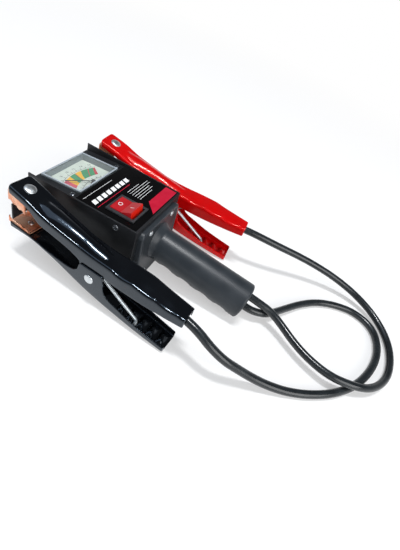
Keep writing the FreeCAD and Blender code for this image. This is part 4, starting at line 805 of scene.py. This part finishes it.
SCREW_RISE = 1.1
SCREW_SKIRT = 0.3
CROSS_WIDE = 0.16
CROSS_LONG = 0.62
CROSS_SOFT = 0.1
CROSS_DEEP = 0.8


def pan_head(radius, rise):
    """A pan head as heights on a polar grid: a flat-topped dome, less a cross of two rounded bars.

    The dome's height is the root of one less the radius share to the fourth, times the rise.
    """
    share = np.linspace(0, 1, 34)[:, None]
    angle = np.linspace(0, 2 * np.pi, 72, endpoint=False)
    x, y = radius * share * np.cos(angle), radius * share * np.sin(angle)
    wide, long, soft = CROSS_WIDE * radius, CROSS_LONG * radius, CROSS_SOFT * radius

    def bar(a, b):
        within = 1 - ease(np.abs(a), wide - soft, wide + soft)
        return within * (1 - ease(np.abs(b), long - soft, long + soft))
    cross = np.maximum(bar(x, y), bar(y, x))
    z = rise * np.sqrt(1 - share ** 4) - CROSS_DEEP * rise * cross
    skirt = np.stack([x[-1], y[-1], np.full_like(x[-1], -SCREW_SKIRT)], axis=1)[None]
    return grid(np.concatenate([np.stack([x, y, z], axis=-1), skirt]), columns_meet=True, capped=True)


def make_screw(node, facing, material):
    """A screw head where its CAD node has one, looking along a direction."""
    facing = np.asarray(facing, float)
    side = np.cross(facing, X_AXIS if abs(facing[0]) < 0.5 else Z_AXIS)
    side /= np.linalg.norm(side)
    axes = np.stack([side, np.cross(facing, side), facing])
    low, high = span(node, side)
    head = pan_head((high - low) / 2 / MM, SCREW_RISE)
    origin = top_of(node, axes) - SCREW_RISE * MM * facing
    piece(mesh_of(node + "_head", [set_down(head, origin, axes)]), material, "tester", [node])


for number in (1, 2):
    make_screw(f"side_screw_left_{number}", (-1, 0, 0), BLACK_ZINC)
    make_screw(f"side_screw_right_{number}", (1, 0, 0), BLACK_ZINC)
    make_screw(f"meter_screw_{number}", DECK_UP, BLACK_ZINC)
for number in range(1, 5):
    make_screw(f"handle_screw_{number}", (0, -1, 0), ZINC)


# Case, meter and switch: CAD shapes with their edges rounded, each bevel's width in millimetres

rounded_copy("base_tray", POWDER_COAT, "tester", width=0.5)
rounded_copy("top_cover", POWDER_COAT, "tester", width=0.5)
rounded_copy("meter_case", METER_GREY, "tester", width=0.25)
rounded_copy("meter_bezel", BEZEL_GREY, "tester", width=0.4)
rounded_copy("switch_frame", SWITCH_NYLON, "tester", width=0.5)
rounded_copy("switch_rocker", ROCKER_RED, "rocker", width=0.6)
for name, enamel, paint in CLAMPS:
    rounded_copy(name + "_clip_bracket", POWDER_COAT, "tester", width=0.3)
    rounded_copy(name + "_cable_clip", enamel, "tester", width=0.3)


# Prints: thin flat grids just above what carries them

PRINT_LIFT = 0.05
CAPITAL_SHARE = 0.7


def print_on(name, patches, material, origin, axes, body="tester"):
    """Flat patches of local x and y, lifted a hair off their ground."""
    lifted = []
    for points, faces in patches:
        flat = np.column_stack([points[:, :2], np.full(len(points), PRINT_LIFT)])
        lifted.append((placed(flat, origin, axes), faces))
    piece(mesh_of(name, lifted, closed=False), material, body)


def flat_sheet(*corners):
    """One flat face between corners of x and y."""
    return np.array([(x, y, 0) for x, y in corners], float), [list(range(len(corners)))]


def strip(x0, x1, y0, y1, lean=0.0):
    """A rectangle between two places each way, its upper edge moved along by the lean."""
    return flat_sheet((x0, y0), (x1, y0), (x1 + lean, y1), (x0 + lean, y1))


def flat_text(words, height):
    """Plain characters as flat patches about their middle, so many millimetres tall."""
    text = bpy.data.curves.new("characters", "FONT")
    text.body = words
    text.align_x, text.align_y = "CENTER", "CENTER"
    text.size = height / CAPITAL_SHARE
    line = bpy.data.objects.new("characters", text)
    mesh = bpy.data.meshes.new_from_object(line)
    bpy.data.objects.remove(line)
    points = np.empty(len(mesh.vertices) * 3, np.float32)
    mesh.vertices.foreach_get("co", points)
    faces = [list(face.vertices) for face in mesh.polygons]
    bpy.data.meshes.remove(mesh)
    bpy.data.curves.remove(text)
    return points.reshape(-1, 3), faces


# Label film: a row of slanted bars over a red rule, a few thin rules, and a red patch by the handle

FILM_TOP = (0, 0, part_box("label_film")[1][2])
PATCH_CORNERS = ((4.5, -40.5), (-9, -53), (40, -53), (40, -40.5))
PRINT_LEFT = -38.0
BARS_FROM, BARS_TO, BAR_PITCH = -37.0, 17.0, 7.2
BAR_WIDE = 5.2
BAR_LOW, BAR_HIGH = -9.8, -4.6
BAR_LEAN = 1.6
RULE_THICK = 0.4
LONG_RULE_TO, LONG_RULE_Y = 6.0, 1.9
SHORT_RULES_FROM = 1.0
SHORT_RULES = ((-19, 22), (-21.8, 34), (-24.6, 34), (-27.4, 28), (-30.2, 30), (-33, 24))
RED_RULE_TO, RED_RULE_LOW, RED_RULE_HIGH = 14.0, -13.6, -13.0

bars = [strip(x, x + BAR_WIDE, BAR_LOW, BAR_HIGH, BAR_LEAN) for x in np.arange(BARS_FROM, BARS_TO, BAR_PITCH)]
rules = [strip(PRINT_LEFT, LONG_RULE_TO, LONG_RULE_Y, LONG_RULE_Y + RULE_THICK)]
rules += [strip(SHORT_RULES_FROM, end, y, y + RULE_THICK) for y, end in SHORT_RULES]
red_rule = strip(PRINT_LEFT, RED_RULE_TO, RED_RULE_LOW, RED_RULE_HIGH)
print_on("red_label_patch", [flat_sheet(*PATCH_CORNERS)], RED_INK, FILM_TOP, LEVEL)
print_on("white_label_print", bars + rules, WHITE_INK, FILM_TOP, LEVEL)
print_on("red_label_rule", [red_rule], RED_INK, FILM_TOP, LEVEL)


# Meter dial, in the deck's frame: x across, y up the slope, from the middle of the meter

DECK_AXES = np.stack([X_AXIS, np.cross(DECK_UP, X_AXIS), DECK_UP])
DIAL_AT = top_of("dial_plate", DECK_AXES)
BAND_CENTRE = -46.0
BAND_OUTER, BAND_INNER = 54.3, 41.8
SCALE_RADIUS, SCALE_TICK, SCALE_LINE = 56.0, 2.2, 0.3
LOW_SCALE_RADIUS, LOW_SCALE_TICK, LOW_SCALE_LINE = 36.4, 2.2, 0.4
NUMBER_RADIUS = 60.6
NUMBER_HEIGHT = 2.6


def band(outer_from, outer_to, inner_from, inner_to, outer=BAND_OUTER, inner=BAND_INNER):
    """Part of a ring between two slanting ends: angles in degrees from straight up, at both radii."""
    deep, along = np.linspace(0, 1, 5)[:, None], np.linspace(0, 1, 25)
    start = outer_from + (inner_from - outer_from) * deep
    end = outer_to + (inner_to - outer_to) * deep
    angle = np.radians(start + (end - start) * along)
    radius = outer + (inner - outer) * deep
    points = np.stack([radius * np.sin(angle), BAND_CENTRE + radius * np.cos(angle), 0 * angle], axis=-1)
    return grid(points)


def scale(start, end, ticks, half_tick, radius, tick, line):
    """A scale: ticks that stand on a thin arc, each so many degrees to both sides of its angle."""
    sides = [(angle - half_tick, angle + half_tick) for angle in ticks]
    marks = [band(left, right, left, right, radius + tick, radius) for left, right in sides]
    return marks + [band(start, end, start, end, radius, radius - line)]


PINKS = [band(-22.2, -14.7, -27.8, -20.2)]
YELLOWS = [band(-14.7, -7.3, -20.2, -13.0), band(1.4, 9.7, -3.3, 0.1)]
GREENS = [band(-7.3, 0.8, -13.0, -3.9), band(9.7, 18.6, 0.1, 10.0), band(19.6, 25.0, 11.2, 19.2)]
REDS = [band(0.8, 1.4, -3.9, -3.3), band(18.6, 19.6, 10.0, 11.2), band(25.0, 27.3, 19.2, 23.7)]
SCALES = scale(-25, 28, np.arange(-24, 28, 6), 0.25, SCALE_RADIUS, SCALE_TICK, SCALE_LINE)
SCALES += scale(-28, 24, np.arange(-24, 25, 8), 0.4, LOW_SCALE_RADIUS, LOW_SCALE_TICK, LOW_SCALE_LINE)
DIAL_PRINTS = (
    ("rose", PINKS, PINK_INK),
    ("yellow", YELLOWS, YELLOW_INK),
    ("green", GREENS, GREEN_INK),
    ("red", REDS, RED_INK),
    ("dark", SCALES, DARK_INK),
)
for name, patches, ink in DIAL_PRINTS:
    print_on(f"dial_{name}_print", patches, ink, DIAL_AT, DECK_AXES)

NUMBERS = []
for number, angle in zip(range(6, 18, 2), np.radians(np.arange(-21, 30, 9))):
    sine, cosine = math.sin(angle), math.cos(angle)
    upright = np.array([[cosine, -sine, 0], [sine, cosine, 0], [0, 0, 1]])
    place = (NUMBER_RADIUS * sine, BAND_CENTRE + NUMBER_RADIUS * cosine, 0)
    NUMBERS.append(moved(flat_text(str(number), NUMBER_HEIGHT), place, upright))
print_on("dial_numbers", NUMBERS, DARK_INK, DIAL_AT, DECK_AXES)


# Rocker marks: O on the half by the meter, I on the half by the handle, each on its own slope

ROCKER_AT = np.array(JOINTS["rocker_press"]["pos_m"])
ROCKER_TILT = math.radians(-12)
ROCKER_SLOPE = math.atan(2.4 / 10.9)
WAIST_HEIGHT = 4.6
MARK_FROM_WAIST = 6.2
MARK_HEIGHT = 4.2


def leaning_axes(angle):
    """Axes of a face turned about x by an angle: across, along and out of it."""
    sine, cosine = math.sin(angle), math.cos(angle)
    return np.array([[1, 0, 0], [0, cosine, sine], [0, -sine, cosine]])


waist = leaning_axes(ROCKER_TILT)[2] * WAIST_HEIGHT
for name, mark, side in (("rocker_off", "O", 1), ("rocker_on", "I", -1)):
    axes = leaning_axes(ROCKER_TILT + side * ROCKER_SLOPE)
    middle = ROCKER_AT + (waist + axes[1] * side * MARK_FROM_WAIST) * MM
    print_on(name, [flat_text(mark, MARK_HEIGHT)], WHITE_INK, middle, axes, "rocker")


# Camera, floor and light

CAMERA_AT = np.array([-263.794, -146.386, 270.262])
CAMERA_AZIMUTH, CAMERA_ELEVATION, CAMERA_ROLL = np.radians([-83.203, 43.118, 24.79])
FOCAL_PIXELS = 359.771
IMAGE_HEIGHT = 550


def make_camera():
    """The photograph's camera: it looks back along its azimuth and elevation, and rolls about its view."""
    camera = bpy.data.cameras.new("camera")
    camera.sensor_width = 36.0
    camera.lens = FOCAL_PIXELS / IMAGE_HEIGHT * camera.sensor_width
    camera.clip_start, camera.clip_end = 0.01, 200.0
    azimuth, elevation, roll = CAMERA_AZIMUTH, CAMERA_ELEVATION, CAMERA_ROLL
    back = np.array([math.sin(azimuth) * math.cos(elevation), -math.cos(azimuth) * math.cos(elevation),
                     math.sin(elevation)])
    right = np.array([math.cos(azimuth), math.sin(azimuth), 0.0])
    up = np.cross(back, right)
    rolled_right = math.cos(roll) * right + math.sin(roll) * up
    rolled_up = math.cos(roll) * up - math.sin(roll) * right
    obj = bpy.data.objects.new("camera", camera)
    bpy.context.scene.collection.objects.link(obj)
    turn = Matrix(np.stack([rolled_right, rolled_up, back], axis=1).tolist())
    obj.matrix_world = Matrix.Translation(CAMERA_AT * MM) @ turn.to_4x4()
    bpy.context.scene.camera = obj


# Floor, in metres. Close by, the glow's share of it is plain white and the rest takes the shadow;
# the white grows with the distance until it is all of it.
FLOOR_HALF = 60.0
FLOOR_BELOW = 0.0002
FLOOR_GLOW = 0.44
GLOW_FROM, GLOW_TO = 0.35, 1.3


def make_floor():
    """A wide pale floor that shows white to the camera and in reflections, and keeps the shadow."""
    sides = ((-1, -1), (1, -1), (1, 1), (-1, 1))
    corners = [(x * FLOOR_HALF, y * FLOOR_HALF, -FLOOR_BELOW) for x, y in sides]
    mesh = bpy.data.meshes.new("floor")
    mesh.from_pydata(corners, [], [(0, 1, 2, 3)])
    material = bpy.data.materials.new("white_paper_sweep")
    material.use_nodes = True
    tree = material.node_tree
    tree.nodes.clear()
    path = add(tree, "LightPath").outputs
    seen = add(tree, "Math", {0: path["Is Camera Ray"], 1: path["Is Glossy Ray"]}, operation="MAXIMUM")
    seen = add(tree, "Math", {0: seen.outputs[0], 1: path["Is Transmission Ray"]}, operation="MAXIMUM")
    place = add(tree, "TexCoord").outputs["Object"]
    away = add(tree, "VectorMath", {0: place}, operation="LENGTH")
    far = add(tree, "MapRange", {"Value": away.outputs["Value"], "From Min": GLOW_FROM, "From Max": GLOW_TO,
                                 "To Min": FLOOR_GLOW, "To Max": 1.0}, interpolation_type="SMOOTHSTEP")
    share = add(tree, "Math", {0: seen.outputs[0], 1: far.outputs["Result"]}, operation="MULTIPLY")
    paper = add(tree, "BsdfDiffuse", {"Color": linear("#f2f2f2")})
    glow = add(tree, "Emission", {"Color": linear("#ffffff")})
    both = add(tree, "MixShader", {"Fac": share.outputs[0], 1: paper.outputs[0], 2: glow.outputs[0]})
    add(tree, "OutputMaterial", {"Surface": both.outputs[0]})
    mesh.materials.append(material)
    floor = bpy.data.objects.new("floor", mesh)
    bpy.context.scene.collection.objects.link(floor)


LAMPS_AIM = np.array([0.0, -0.08, 0.03])


def make_lamp(name, direction, distance, size_x, size_y, power, colour="#ffffff"):
    """A soft box at a distance from the object along a direction, facing it, in metres and watts."""
    lamp = bpy.data.lights.new(name, "AREA")
    lamp.shape = "RECTANGLE"
    lamp.size, lamp.size_y = size_x, size_y
    lamp.energy = power
    lamp.color = linear(colour)[:3]
    obj = bpy.data.objects.new(name, lamp)
    bpy.context.scene.collection.objects.link(obj)
    back = np.array(direction, float) / np.linalg.norm(direction)
    right = np.cross((0, 1, 0), back)
    right /= np.linalg.norm(right)
    turn = Matrix(np.stack([right, np.cross(back, right), back], axis=1).tolist())
    obj.matrix_world = Matrix.Translation(LAMPS_AIM + back * distance) @ turn.to_4x4()


WALL_GLOW, CEILING_GLOW = 0.8, 0.08
WALL_TOP, CEILING_FROM = 0.1, 0.45


def make_world():
    """A studio with pale walls and a dark ceiling: radiance falls evenly with height above the horizon."""
    world = bpy.data.worlds.new("studio")
    world.use_nodes = True
    tree = world.node_tree
    tree.nodes.clear()
    height = add(tree, "SeparateXYZ", {0: add(tree, "TexCoord").outputs["Generated"]})
    level = add(tree, "MapRange", {"Value": height.outputs["Z"],
                                   "From Min": WALL_TOP, "From Max": CEILING_FROM,
                                   "To Min": WALL_GLOW, "To Max": CEILING_GLOW})
    sky = add(tree, "Background", {"Color": linear("#fbfcff"), "Strength": level.outputs["Result"]})
    add(tree, "OutputWorld", {"Surface": sky.outputs[0]})
    bpy.context.scene.world = world


make_camera()
make_floor()
make_lamp("overhead_softbox", (-0.05, 0.06, 1.0), 3.0, 0.26, 0.8, 64.0)
make_lamp("sky_panel", (-0.05, 0.28, 0.96), 3.2, 1.9, 3.8, 26.0, "#d6e8ff")
make_lamp("front_fill", (-0.45, -0.75, 0.5), 3.0, 2.2, 2.2, 62.0)
make_world()
bpy.context.scene.view_settings.view_transform = "Standard"
